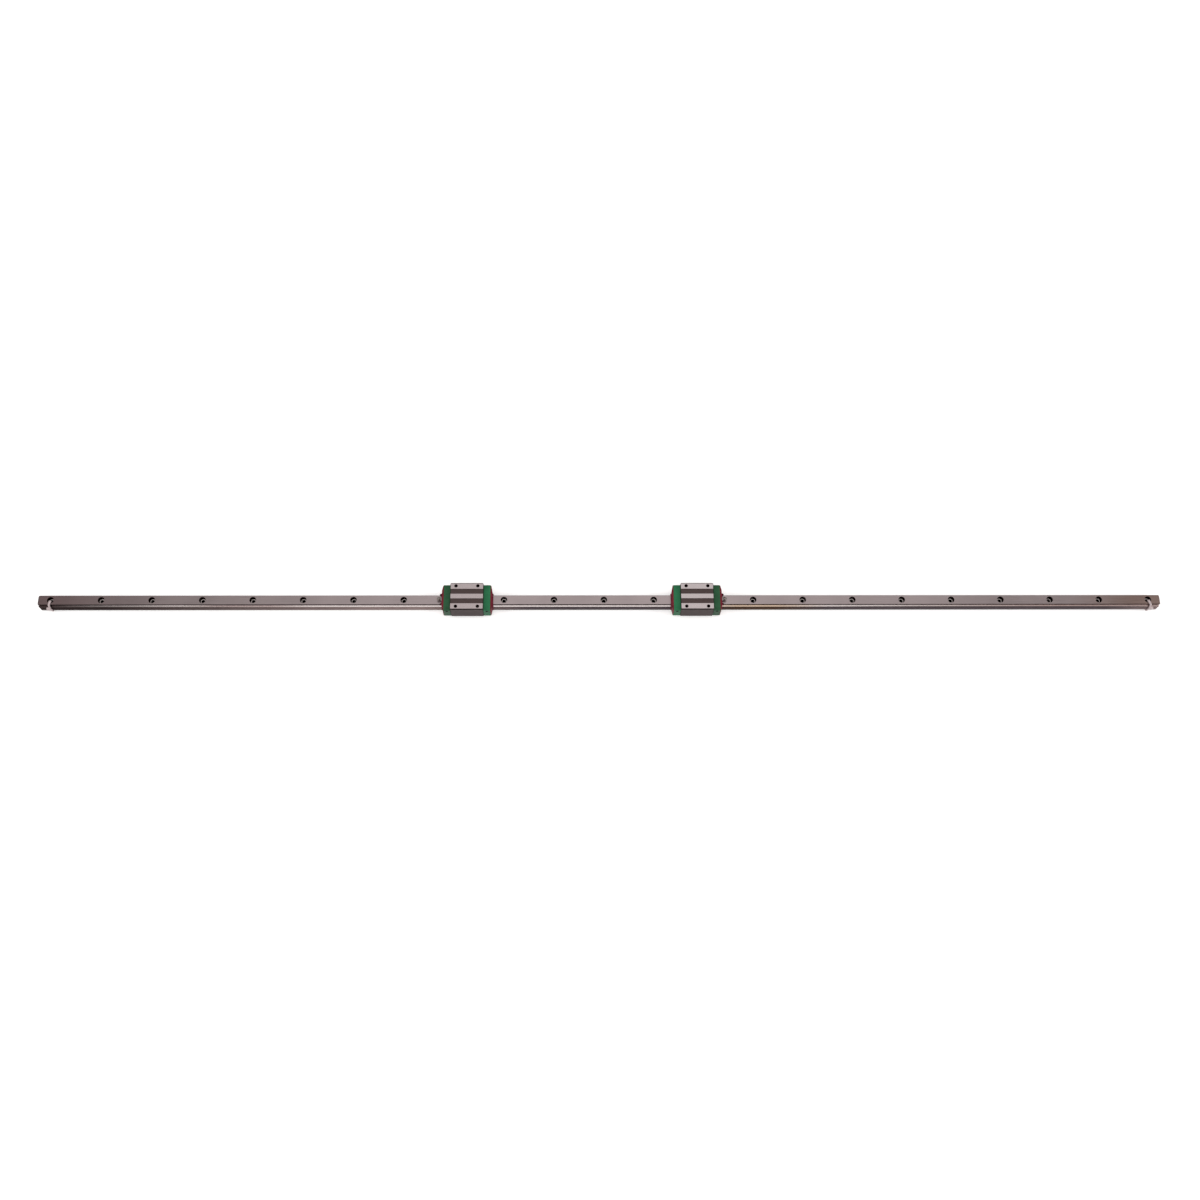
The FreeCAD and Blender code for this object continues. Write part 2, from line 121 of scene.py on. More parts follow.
# %% [markdown]
# ## Light
# Steel shows what stands around it, so the light is built for its reflections. A softbox behind the rail
# hangs where the flat tops mirror it to the camera: the middle of the rail sees it and the ends look past
# it, which leaves them darker. A larger one in front, above the camera, gives the round ball tracks their
# bright line. One at each side lights the plastic, where no flat top mirrors it. The rest of the room is
# dim and even, and only the camera sees it white.

# %% World and softboxes
WORLD_LEVEL = 0.45
BACK_BOX = {"place": aside(180, 70.5) * 1.9 + Vector((0.1, 0, 0)), "size": (1.7, 0.9), "radiance": 0.6}
FRONT_BOX = {"place": aside(-5, 60) * 2.4, "size": (1.82, 1.9), "radiance": 1.3}
SIDE_BOX = {"size": (1.3, 1.2), "radiance": 2.4}
SIDE_TURNS = (-81, 81)

scene.view_settings.view_transform = "Standard"
scene.world = bpy.data.worlds.new("studio")
scene.world.use_nodes = True
studio = scene.world.node_tree
sky = studio.nodes["Background"]
sky.inputs["Color"].default_value = colour("#fffaf7")
seen = add_node(studio, "ShaderNodeLightPath").outputs["Is Camera Ray"]
level = add_node(studio, "ShaderNodeMath", {"operation": "MULTIPLY_ADD"},
                 {0: seen, 1: 1 - WORLD_LEVEL, 2: WORLD_LEVEL})
studio.links.new(level.outputs[0], sky.inputs["Strength"])


def softbox(name, place, size, radiance):
    """A rectangular white lamp aimed at the rail that looks as bright as its radiance."""
    lamp = bpy.data.lights.new(name, "AREA")
    lamp.shape = "RECTANGLE"
    lamp.size, lamp.size_y = size
    lamp.energy = radiance * math.pi * size[0] * size[1]
    holder = bpy.data.objects.new(name, lamp)
    scene.collection.objects.link(holder)
    holder.matrix_world = facing(place, (0, 0, 0))
    print(name, "gives", round(lamp.energy, 2), "W")


softbox("back_box", **BACK_BOX)
softbox("front_box", **FRONT_BOX)
for number, turn in enumerate(SIDE_TURNS):
    softbox("side_box_" + str(number), aside(turn, 34) * 2.3, **SIDE_BOX)

# %% [markdown]
# ## Floor
# The photo's ground is plain white. The floor is white paint, which takes the shadow of the rail, and a
# little glow for the camera and in reflections lifts its open parts to full white.

# %% Floor
FLOOR_SIZE = 6.0
FLOOR_GLOW = 0.36


def as_object(name, bm, made):
    """Turns a bmesh into an object with a finish."""
    mesh = bpy.data.meshes.new(name)
    bm.to_mesh(mesh)
    bm.free()
    mesh.materials.append(made)
    piece = bpy.data.objects.new(name, mesh)
    scene.collection.objects.link(piece)
    return piece


def make_floor():
    """A white square that glows for the camera and in reflections."""
    white = bpy.data.materials.new("studio_floor_white")
    white.use_nodes = True
    tree = white.node_tree
    tree.nodes.clear()
    path = add_node(tree, "ShaderNodeLightPath")
    seen = path.outputs["Is Camera Ray"]
    for kind in ("Is Glossy Ray", "Is Transmission Ray"):
        seen = add_node(tree, "ShaderNodeMath", {"operation": "MAXIMUM"},
                        {0: seen, 1: path.outputs[kind]}).outputs[0]
    level = add_node(tree, "ShaderNodeMath", {"operation": "MULTIPLY"}, {0: seen, 1: FLOOR_GLOW})
    paint = add_node(tree, "ShaderNodeBsdfDiffuse", None, {"Color": colour("#ffffff")})
    glow = add_node(tree, "ShaderNodeEmission", None,
                    {"Color": colour("#ffffff"), "Strength": level.outputs[0]})
    both = add_node(tree, "ShaderNodeAddShader", None, {0: paint.outputs[0], 1: glow.outputs[0]})
    add_node(tree, "ShaderNodeOutputMaterial", None, {"Surface": both.outputs[0]})
    bm = bmesh.new()
    bmesh.ops.create_grid(bm, x_segments=1, y_segments=1, size=FLOOR_SIZE / 2)
    return as_object("floor", bm, white)


make_floor()

# %% [markdown]
# ## Finishes
# Every finish starts from one recipe: two tones of the same material mixed by a noise whose grain has a
# real size, with the roughness and a shallow relief following the same grain. Ground steel has grain
# hundreds of times longer than wide, because the wheel runs along the rail; moulded plastic has round
# grain. Broad clouds darken a surface in patches, and stains tint it round a place: some are real stains
# and some are painted shade.

# %% The recipe
def finish(name, tones, roughness, grain, relief, metal=0.0, clouds=None, gloss=0.5, stains_and_shade=()):
    """A procedural finish. Grain is the pattern's size along X, Y and Z in mm and relief its height in mm.
    Clouds are a size in mm and how much darker they get; a stain, real or painted shade, is a place, two
    radii in mm and a tint."""
    made = bpy.data.materials.new(name)
    made.use_nodes = True
    tree = made.node_tree
    tree.nodes.clear()
    where = add_node(tree, "ShaderNodeTexCoord").outputs["Object"]
    stretch = add_node(tree, "ShaderNodeMapping", None,
                       {"Vector": where, "Scale": [1 / (size * MM) for size in grain]})
    noise = add_node(tree, "ShaderNodeTexNoise", None,
                     {"Vector": stretch.outputs[0], "Scale": 1.0, "Detail": 3.0, "Roughness": 0.6})
    spread = {"Value": noise.outputs["Fac"], "From Min": 0.3, "From Max": 0.7}
    ramp = add_node(tree, "ShaderNodeMapRange", None, spread)
    tone = add_node(tree, "ShaderNodeMix", {"data_type": "RGBA"},
                    {"Factor": ramp.outputs[0], 6: colour(tones[0]), 7: colour(tones[1])}).outputs[2]
    if clouds:
        broad = add_node(tree, "ShaderNodeTexNoise", None,
                         {"Vector": where, "Scale": 1 / (clouds[0] * MM), "Detail": 2.0})
        shade = add_node(tree, "ShaderNodeMapRange", None,
                         {"Value": broad.outputs["Fac"], "From Min": 0.35, "From Max": 0.65,
                          "To Min": 1 - clouds[1], "To Max": 1.0})
        tone = add_node(tree, "ShaderNodeVectorMath", {"operation": "SCALE"},
                        {0: tone, "Scale": shade.outputs[0]}).outputs[0]
    for spot, radii, tint in stains_and_shade:
        away = add_node(tree, "ShaderNodeVectorMath", {"operation": "DISTANCE"},
                        {0: where, 1: [v * MM for v in spot]})
        film = add_node(tree, "ShaderNodeMapRange", None,
                        {"Value": away.outputs["Value"], "From Min": radii[0] * MM,
                         "From Max": radii[1] * MM, "To Min": 1.0, "To Max": 0.0})
        tone = add_node(tree, "ShaderNodeMix", {"data_type": "RGBA", "blend_type": "MULTIPLY"},
                        {"Factor": film.outputs[0], 6: tone, 7: colour(tint)}).outputs[2]
    rough = add_node(tree, "ShaderNodeMapRange", None,
                     {**spread, "To Min": roughness[0], "To Max": roughness[1]})
    bump = add_node(tree, "ShaderNodeBump", None,
                    {"Height": noise.outputs["Fac"], "Strength": 1.0, "Distance": relief * MM})
    surface = add_node(tree, "ShaderNodeBsdfPrincipled", None,
                       {"Base Color": tone, "Roughness": rough.outputs[0], "Normal": bump.outputs[0],
                        "Metallic": metal, "Specular IOR Level": gloss})
    add_node(tree, "ShaderNodeOutputMaterial", None, {"Surface": surface.outputs[0]})
    return made


# %% [markdown]
# The rail's steels differ by how they were made. The top is ground, which leaves a fine satin along X.
# The ball tracks are ground finer. Top and tracks are painted darker towards both ends, and the tracks
# also between the left end and the left carriage: painted shade where they mirror less of the softbox.
# The neck and foot are painted dark, painted shade for the dark surroundings their steel mirrors; the
# foot is painted paler between the left end and the left carriage, and darker towards the left end and
# from the left carriage to the right end. Beside the right carriage the oil it pushes out has run into
# the front track and turned amber. The holes are painted black inside, painted shade, and their seats
# near white round the hole, a painted highlight, with painted shade in the corner. Real grinding lines
# are about 0.02 mm wide and are drawn ten times as wide here, so that they show.

# %% Rail steels
GROUND_LINES = (40.0, 0.25, 0.25)
DRAWN_LINES = (25.0, 0.4, 0.4)
FINE_GRAIN = (0.6, 0.6, 0.6)
OIL_PLACE = (185.0, -7.0, 11.0)
OIL_REACH = (25.0, 85.0)
TRACK_SHADE_PLACE = (-430.0, -6.0, 11.0)
FOOT_SHADE_PLACE = (260.0, -7.0, 3.0)
LEFT_END = (-700.0, -6.0, 8.0)
RIGHT_END = (700.0, -6.0, 8.0)
# The top is painted darker towards both ends: painted shade where it mirrors less of the back softbox.
rail_ground = finish(
    "ground_bearing_steel_satin", ("#a29697", "#b1a4a5"), (0.26, 0.36), GROUND_LINES, 0.002, metal=1.0,
    clouds=(45.0, 0.1),
    stains_and_shade=[(LEFT_END, (40.0, 180.0), "#cabdbd"), (RIGHT_END, (60.0, 140.0), "#ebdbcf")])
# The tracks are painted darker at both ends and between the left end and the left carriage: painted shade.
# The amber tint is oil.
rail_track = finish(
    "ball_track_steel_bright", ("#d4cbca", "#e0d8d7"), (0.12, 0.2), (60.0, 0.3, 0.3), 0.001, metal=1.0,
    stains_and_shade=[(OIL_PLACE, OIL_REACH, "#f4e4cd"), (LEFT_END, (40.0, 190.0), "#594c4c"),
            (TRACK_SHADE_PLACE, (30.0, 80.0), "#d6cccb"), (RIGHT_END, (150.0, 380.0), "#d8c8c4")])
# Foot and nose: painted dark, painted shade for the dark surroundings they mirror, paler near the left
# carriage and darker at the left end and to the right. The amber tint is oil.
skin_oil_and_painted_shade = finish(
    "hardened_steel_dark_foot", ("#8c7a78", "#9c8a88"), (0.5, 0.65), DRAWN_LINES, 0.003,
    clouds=(60.0, 0.12), gloss=0.1,
    stains_and_shade=[(OIL_PLACE, OIL_REACH, "#e8c494"), (LEFT_END, (110.0, 440.0), "#594d4d"),
            (FOOT_SHADE_PLACE, (350.0, 430.0), "#989aa4")])
# Neck and top edge: painted black, painted shade.
neck_painted_shade = finish(
    "hardened_steel_black_neck", ("#140f0f", "#1e1717"), (0.5, 0.65), DRAWN_LINES, 0.003,
    clouds=(90.0, 0.3), gloss=0.0)
# Hole walls, tap mouths and threads: painted black, painted shade inside the holes.
hole_wall_painted_shade = finish(
    "drilled_steel_black_wall", ("#120706", "#1a0d0c"), (0.5, 0.65), (1.5, 1.5, 0.2), 0.004, gloss=0.0)
# Seats: painted near white, a painted highlight.
seat_painted_highlight = finish(
    "milled_steel_seat_matt", ("#f6e8e4", "#fdf3f0"), (0.45, 0.6), FINE_GRAIN, 0.004, gloss=0.3)
sawn_end = finish(
    "sawn_steel_end", ("#6c605f", "#8b7e7c"), (0.35, 0.5), (0.3, 0.3, 4.0), 0.006, metal=1.0)

# %% [markdown]
# The blocks have bright ground lands, with their edges painted black as painted shade, a dark hardened
# skin in the grooves, and sides painted dark as painted shade for the dark surroundings the steel
# mirrors. The left block's lands are a trace duller. Screws are blackened, the nipples zinc plated and
# the balls polished.

# %% Carriage steels
LEFT_LANDS = (-164.0, 0.0, 29.0)
land_ground = finish(
    "ground_block_steel_bright", ("#bab0b1", "#c8bebf"), (0.24, 0.34), GROUND_LINES, 0.002, metal=1.0,
    stains_and_shade=[(LEFT_LANDS, (45.0, 70.0), "#efecec")])
# Block sides, underside and channel: painted dark, painted shade for the dark surroundings the steel
# mirrors.
block_painted_shade = finish(
    "hardened_block_steel_dark", ("#453a3a", "#504444"), (0.45, 0.6), (20.0, 0.5, 0.5), 0.004,
    clouds=(18.0, 0.15), gloss=0.1)
# Top edges and end breaks: painted black, painted shade.
block_edge_painted_shade = finish(
    "ground_edge_steel_black", ("#140d0d", "#1e1515"), (0.35, 0.45), (20.0, 0.4, 0.4), 0.003, gloss=0.0)
groove_skin = finish(
    "hardened_groove_steel_black", ("#504443", "#5f5251"), (0.4, 0.55), (6.0, 0.5, 0.5), 0.004, metal=1.0)
plated = finish(
    "zinc_plated_steel", ("#6e6764", "#8d8681"), (0.2, 0.32), (0.8, 0.8, 0.8), 0.003, metal=1.0)
screw_black = finish(
    "black_oxide_screw_steel", ("#1c1a1a", "#2c2828"), (0.3, 0.45), (0.5, 0.5, 0.5), 0.004, metal=1.0)
ball_chrome = finish(
    "polished_ball_steel", ("#c8c8cc", "#dedee2"), (0.04, 0.08), (2.0, 2.0, 2.0), 0.0005, metal=1.0)

# %% [markdown]
# The caps are moulded of green nylon, the seals of dark red rubber, the ties of natural nylon. Moulded
# plastic has a soft gloss and a faint, round unevenness from the tool's eroded surface. The outer caps sit
# by the grease nipples and have a thin film of old grease, which darkens them. The sides of every cap are
# painted darker round their middle, painted shade, and each port has a black ring of grease round it.

# %% Plastics
MOULDED = (0.9, 0.9, 0.9)
GREASE_DROP = 3.3
PORT_RING = ((1.4, 2.3), "#39403a")
# The painted shade on the middle of the caps' sides.
SIDE_PAINTED_SHADE = ((7.0, 11.0), "#e3d9de")


def side_stains(*caps):
    """Painted shade on both sides of each named cap, with a black ring of grease round the port."""
    stains_and_shade = []
    for cap in caps:
        low, high = (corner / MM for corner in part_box(cap))
        for y in (low.y, high.y):
            x = (low.x + high.x) / 2
            stains_and_shade.append(((x, y, high.z - GREASE_DROP), *PORT_RING))
            stains_and_shade.append(((x, y, (low.z + high.z) / 2), *SIDE_PAINTED_SHADE))
    return stains_and_shade


cap_green = finish(
    "moulded_green_nylon", ("#2a734a", "#338259"), (0.45, 0.58), MOULDED, 0.012, clouds=(9.0, 0.14),
    gloss=0.15, stains_and_shade=side_stains("left_cap_inner", "right_cap_inner"))
cap_greased = finish(
    "moulded_green_nylon_greased", ("#2b5a3b", "#356747"), (0.42, 0.56), MOULDED, 0.012,
    clouds=(9.0, 0.2), gloss=0.15, stains_and_shade=side_stains("left_cap_outer", "right_cap_outer"))
# Port insides: dark with grease, and painted shade inside the blind hole.
port_grease_and_painted_shade = finish(
    "grease_in_port", ("#060c08", "#0b1610"), (0.5, 0.6), FINE_GRAIN, 0.008, gloss=0.0)
# Dabs: black, painted shade where the outer seals meet the rail's edges.
dab_painted_shade = finish(
    "old_grease_black", ("#0a0606", "#140c0c"), (0.3, 0.4), FINE_GRAIN, 0.01, gloss=0.1)
seal_red = finish(
    "moulded_red_rubber", ("#6c1a2a", "#7c2536"), (0.5, 0.65), (0.7, 0.7, 0.7), 0.012,
    clouds=(7.0, 0.15), gloss=0.15)
bottom_rubber = finish(
    "black_rubber_strip", ("#161616", "#232222"), (0.5, 0.65), (0.8, 0.8, 0.8), 0.01)
retainer_natural = finish(
    "natural_acetal_strip", ("#cfc8b8", "#ded8ca"), (0.35, 0.5), (1.0, 1.0, 1.0), 0.008)
tie_nylon = finish(
    "natural_white_nylon", ("#bbabac", "#cdbebf"), (0.32, 0.45), FINE_GRAIN, 0.008, clouds=(4.0, 0.08))
print(len(bpy.data.materials), "materials")

# %% [markdown]
# ## Sections and lofts
# Rail, block, cap and seal are all bars: one section carried along X. A section is drawn as its +Y half
# from bottom to top and mirrored. Real edges are never quite sharp, so each corner of the section is
# eased by a small round, and the ends are eased by a few sections drawn in towards the middle. Drawing
# the rounds into the section keeps every face clean, which a bevel tool doesn't promise on thin lips.

# %% Section tools
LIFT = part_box("rail")[0].z / MM
SMOOTH_BELOW = math.radians(40)
CORNER_FROM = math.radians(20)
EDGE_SHARE = 0.45


def polygon(radius, sides, turn=0.0):
    """The corners of a regular outline round the origin."""
    angles = [turn + 2 * math.pi * i / sides for i in range(sides)]
    return [(radius * math.cos(t), radius * math.sin(t)) for t in angles]


def arc(y, z, radius, start, end, steps=12):
    """Points of an arc in the YZ plane, in degrees from +Y towards +Z."""
    turns = [math.radians(start + (end - start) * i / steps) for i in range(steps + 1)]
    return [(y + radius * math.cos(t), z + radius * math.sin(t)) for t in turns]


def both_sides(half):
    """A closed section from its half on the +Y side."""
    return half + [(-y, z) for y, z in reversed(half)]


def neighbours(outline):
    """Each point with its neighbours and the unit directions that lead into it and out of it."""
    points = [Vector(p) for p in outline]
    for i, here in enumerate(points):
        before, after = points[i - 1], points[(i + 1) % len(points)]
        yield here, before, after, (here - before).normalized(), (after - here).normalized()


def grown(outline, distance):
    """The outline moved outwards by a distance, or inwards if it is negative."""
    area = sum(a[0] * b[1] - b[0] * a[1] for a, b in zip(outline, outline[1:] + outline[:1]))
    side = 1 if area > 0 else -1
    moved = []
    for here, _, _, into, out in neighbours(outline):
        normal = Vector((into.y + out.y, -into.x - out.x)) * side / (1 + into.dot(out))
        moved.append(tuple(here + normal * distance))
    return moved


def eased(outline, radius, steps=3):
    """The outline with every real corner rounded off."""
    rounded = []
    for here, before, after, into, out in neighbours(outline):
        turn = into.angle(out, 0)
        if turn < CORNER_FROM:
            rounded.append(tuple(here))
            continue
        shortest = min((here - before).length, (after - here).length)
        reach = min(radius * math.tan(turn / 2), EDGE_SHARE * shortest)
        for i in range(steps + 1):
            t = i / steps
            rounded.append(tuple(here - into * reach * (1 - t) ** 2 + out * reach * t ** 2))
    return rounded


# %% [markdown]
# A loft joins rings of points with faces. With it, a bar is rings along X, a turned piece is circles along
# its axis, and a strap is its section set along a closed path.

# %% Lofts
def loft(rings, closed=False):
    """A solid through rings of points in millimetres. A closed loft joins its last ring to its first."""
    bm = bmesh.new()
    made = [[bm.verts.new(Vector(p) * MM) for p in ring] for ring in rings]
    pairs = list(zip(made, made[1:]))
    if closed:
        pairs.append((made[-1], made[0]))
    for low, high in pairs:
        for i in range(max(len(low), len(high))):
            j = i + 1
            corners = [low[i % len(low)], low[j % len(low)], high[j % len(high)], high[i % len(high)]]
            bm.faces.new(list(dict.fromkeys(corners)))
    if not closed:
        for ring in (made[0], made[-1]):
            if len(ring) > 2:
                bm.faces.new(ring)
    bmesh.ops.recalc_face_normals(bm, faces=bm.faces)
    return bm


def bar(sections):
    """A bar along X through sections given as (x, outline), above the rail's underside."""
    return loft([[(x, y, z + LIFT) for y, z in outline] for x, outline in sections])


def stack(sections):
    """A solid along Z through outlines given as (height, outline)."""
    return loft([[(x, y, height) for x, y in outline] for height, outline in sections])


def lathe(points, sides):
    """A turned solid about Z from (radius, height) points."""
    return loft([[(x, y, height) for x, y in (polygon(radius, sides) if radius else [(0, 0)])]
                 for radius, height in points])


def eased_ends(x0, x1, outline, radius):
    """Sections of a bar whose corners and ends are both eased."""
    steps = [(radius * (1 - math.cos(t)), radius * (1 - math.sin(t)))
             for t in (0, math.pi / 6, math.pi / 3, math.pi / 2)]
    places = [(x0 + along, inset) for along, inset in steps]
    places += [(x1 - along, inset) for along, inset in reversed(steps)]
    return [(x, eased(grown(outline, -inset), radius)) for x, inset in places]


# %% [markdown]
# Modifiers and Geometry Nodes leave their result on the evaluated copy of an object. Baking puts that
# result into a plain mesh. Weighting the normals by face area keeps large faces flat right up to their
# rounded edges. A piece of several finishes is painted face by face, by place and by the way a face looks:
# it faces an axis or leans to it where that part of its normal is large enough.

# %% Pieces and baking
FACING = 0.9
LEANING = 0.3


def bake(piece):
    """Replaces a piece's mesh by the result of its modifiers."""
    graph = bpy.context.evaluated_depsgraph_get()
    result = bpy.data.meshes.new_from_object(piece.evaluated_get(graph), preserve_all_data_layers=True,
                                             depsgraph=graph)
    result.name = piece.name
    piece.modifiers.clear()
    piece.data = result
    return piece


def shade(piece):
    """Smooth shading with flat flats and sharp real edges."""
    piece.data.shade_smooth()
    piece.data.set_sharp_from_angle(angle=SMOOTH_BELOW)
    weight = piece.modifiers.new("flat_faces", "WEIGHTED_NORMAL")
    weight.keep_sharp = True
    return bake(piece)


def combine(piece, other, operation):
    """Cuts another piece out of a piece, or welds it on, and throws the other away."""
    modifier = piece.modifiers.new("combine", "BOOLEAN")
    modifier.solver = "EXACT"
    modifier.operation = operation
    modifier.object = other
    bake(piece)
    bpy.data.objects.remove(other)
    return piece


def hand_in(piece, body, slot, *replaced):
    """A finished piece rides on its body and stands for the CAD nodes it replaces."""
    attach(piece, body)
    if replaced:
        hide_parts(*replaced)
    print(piece.name, "has", sum(len(p.vertices) - 2 for p in piece.data.polygons), "triangles")


def paint_faces(piece, choose, finishes):
    """Gives each face of a piece the finish that a function chooses from its middle (mm) and normal."""
    mesh = piece.data
    mesh.materials.clear()
    for each in finishes:
        mesh.materials.append(each)
    for face in mesh.polygons:
        x, y, z = face.center / MM
        face.material_index = finishes.index(choose(x, y, z - LIFT, face.normal))


# %% [markdown]
# ## Rows of like pieces
# Holes, screws and threads repeat at a fixed pitch. A Geometry Nodes tree lays copies of a piece in rows:
# one line of points carries the piece, a second line carries the whole first row. Its sizes are named
# inputs, so the same tree serves a row of 23 holes and a square of four.

# %% The row tree
def new_tree(name, sockets):
    """An empty Geometry Nodes tree with named inputs, and the sockets that give their values."""
    tree = bpy.data.node_groups.new(name, "GeometryNodeTree")
    for label, kind in sockets.items():
        tree.interface.new_socket(label, in_out="INPUT", socket_type="NodeSocket" + kind)
    tree.interface.new_socket("Geometry", in_out="OUTPUT", socket_type="NodeSocketGeometry")
    return tree, add_node(tree, "NodeGroupInput").outputs


def end_tree(tree, geometry, made):
    """Ends a tree with real geometry in its finish."""
    solid = add_node(tree, "GeometryNodeRealizeInstances", None, {"Geometry": geometry})
    painted = add_node(tree, "GeometryNodeSetMaterial", None,
                       {"Geometry": solid.outputs["Geometry"], "Material": made})
    add_node(tree, "NodeGroupOutput", None, {"Geometry": painted.outputs["Geometry"]})
    return tree


def make_row_tree():
    """Copies of a piece in a line, and copies of that line."""
    tree, given = new_tree("rows_of_pieces", {
        "Piece": "Object", "Count": "Int", "Step": "Vector", "Rows": "Int", "Row Step": "Vector",
        "First": "Vector", "Finish": "Material"})
    copies = add_node(tree, "GeometryNodeObjectInfo", None, {"Object": given["Piece"]}).outputs["Geometry"]
    for count, step in (("Count", "Step"), ("Rows", "Row Step")):
        line = add_node(tree, "GeometryNodeMeshLine", {"mode": "OFFSET"},
                        {"Count": given[count], "Offset": given[step]})
        copies = add_node(tree, "GeometryNodeInstanceOnPoints", None,
                          {"Points": line.outputs["Mesh"], "Instance": copies}).outputs["Instances"]
    tree.links.new(given["First"], line.inputs["Start Location"])
    return end_tree(tree, copies, given["Finish"])


ROW_TREE = make_row_tree()


def from_tree(name, tree, values):
    """A new piece made by a Geometry Nodes tree from its named inputs."""
    piece = bpy.data.objects.new(name, bpy.data.meshes.new(name))
    scene.collection.objects.link(piece)
    modifier = piece.modifiers.new("made", "NODES")
    modifier.node_group = tree
    for socket in tree.interface.items_tree:
        if socket.name in values:
            modifier[socket.identifier] = values[socket.name]
    return bake(piece)


def in_rows(name, piece, first, count, step, rows=1, row_step=(0, 0, 0)):
    """Copies of a piece in rows, in millimetres, as one new piece. The pattern piece is thrown away."""
    copies = from_tree(name, ROW_TREE, {
        "Piece": piece, "Count": count, "Step": Vector(step) * MM, "Rows": rows,
        "Row Step": Vector(row_step) * MM, "First": Vector(first) * MM, "Finish": piece.data.materials[0]})
    bpy.data.objects.remove(piece)
    return copies


def in_pair(name, piece, x, y, z):
    """Two copies of a piece, at -Y and at +Y, as one new piece."""
    return in_rows(name, piece, (x, -y, z), 2, (0, 2 * y, 0))


# %% [markdown]
# ## Rail
# The rail is drawn and ground as one bar: a foot, a narrow neck and two quarter-round ball tracks on each
# side. A section between every two holes keeps each face down to one hole, which drills cleanly, and a row
# of 23 cutters makes the holes. The ends are ground off all round by drawing their last section in. Then
# each face is given the finish its place calls for: ground top, bright tracks, neck and foot in painted
# shade, hole walls painted black as painted shade, and seats milled and painted bright round the hole as a
# painted highlight and black in the corner as painted shade. The bright track finish reaches up onto the
# neck and stops short of the rounds' outer edges, so that it paints the highlight where it falls.

# %% Rail section
RAIL_LENGTH = (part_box("rail")[1].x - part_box("rail")[0].x) / MM
RAIL_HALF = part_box("rail")[1].y / MM
RAIL_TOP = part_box("rail")[1].z / MM - LIFT
TRACK_R = 1.6375
UPPER_ROW_Z = RAIL_TOP - 3.2
LOWER_ROW_Z = UPPER_ROW_Z - 4.8
FOOT_Z = LOWER_ROW_Z - 2.2
FOOT_SLOPE = 0.95
FOOT_CHAMFER = 0.6
TOP_CHAMFER = 0.3
END_CHAMFER = 1.2
NECK_HALF = RAIL_HALF - TRACK_R
HIGHLIGHT_TOP = UPPER_ROW_Z + 1.4
HIGHLIGHT_HALF = RAIL_HALF - 0.7

rail_half = [(RAIL_HALF - FOOT_CHAMFER, 0), (RAIL_HALF, FOOT_CHAMFER), (RAIL_HALF, FOOT_Z),
             (NECK_HALF, FOOT_Z + FOOT_SLOPE)]
rail_half += arc(RAIL_HALF, LOWER_ROW_Z, TRACK_R, 180, 90) + arc(RAIL_HALF, UPPER_ROW_Z, TRACK_R, 270, 180)
rail_half += [(NECK_HALF, HIGHLIGHT_TOP), (NECK_HALF, RAIL_TOP - TOP_CHAMFER),
              (NECK_HALF - TOP_CHAMFER, RAIL_TOP)]
rail_section = both_sides(rail_half)
print("rail", round(RAIL_LENGTH, 1), "mm long, section of", len(rail_section), "points")

# %% Rail bar and holes
HOLE_PITCH = 60.0
HOLE_COUNT = 23
HOLE_R = 2.25
COUNTERBORE_R = 3.75
SEAT_Z = RAIL_TOP - 5.3
SEAT_BRIGHT_R = 3.05
HOLE_BREAK = 0.2
FIRST_HOLE = -HOLE_PITCH * (HOLE_COUNT - 1) / 2
RAIL_EASE = 0.1
PAST = 1.0

round_section = eased(rail_section, RAIL_EASE)
small = 1 - END_CHAMFER / RAIL_HALF
end_section = [(y * small, RAIL_TOP / 2 + (z - RAIL_TOP / 2) * small) for y, z in round_section]
near_end = RAIL_LENGTH / 2 - END_CHAMFER
between = [FIRST_HOLE + HOLE_PITCH * (i + 0.5) for i in range(HOLE_COUNT - 1)]
sections = [(-RAIL_LENGTH / 2, end_section)]
sections += [(x, round_section) for x in (-near_end, *between, near_end)]
sections += [(RAIL_LENGTH / 2, end_section)]
rail = as_object("rail_bar", bar(sections), rail_ground)
cutter = as_object("hole_cutter", lathe([
    (0, -PAST), (HOLE_R, -PAST), (HOLE_R, SEAT_Z), (SEAT_BRIGHT_R, SEAT_Z), (COUNTERBORE_R, SEAT_Z),
    (COUNTERBORE_R, RAIL_TOP - HOLE_BREAK), (COUNTERBORE_R + HOLE_BREAK + PAST, RAIL_TOP + PAST),
    (0, RAIL_TOP + PAST)], sides=72), hole_wall_painted_shade)
cutters = in_rows("hole_cutters", cutter, (FIRST_HOLE, 0, LIFT), HOLE_COUNT, (HOLE_PITCH, 0, 0))
shade(combine(rail, cutters, "DIFFERENCE"))


# %% Rail finishes
def rail_finish(x, y, z, normal):
    """Ground top, sawn ends, tracks with a painted highlight, seats too; holes, neck and foot in painted
    shade.
    """
    nearest = FIRST_HOLE + HOLE_PITCH * round((x - FIRST_HOLE) / HOLE_PITCH)
    from_hole = math.hypot(x - nearest, y)
    if z > RAIL_TOP - 0.01:
        return rail_ground
    if from_hole < COUNTERBORE_R + HOLE_BREAK and abs(x) < near_end:
        # Seats are painted bright near the hole as a painted highlight and black in the corner as painted
        # shade.
        seat = normal.z > FACING and z > 1 and from_hole < SEAT_BRIGHT_R
        return seat_painted_highlight if seat else hole_wall_painted_shade
    if abs(normal.x) > FACING:
        return sawn_end
    # The track finish reaches from the lower row up onto the neck but not the rounds' outer edges: a
    # painted highlight.
    if LOWER_ROW_Z < z < HIGHLIGHT_TOP and abs(y) < HIGHLIGHT_HALF:
        return rail_track
    # Below the upper row and on leaning faces the foot's painted shade, above it the neck's black painted
    # shade.
    return skin_oil_and_painted_shade if z < UPPER_ROW_Z or abs(normal.x) > LEANING else neck_painted_shade


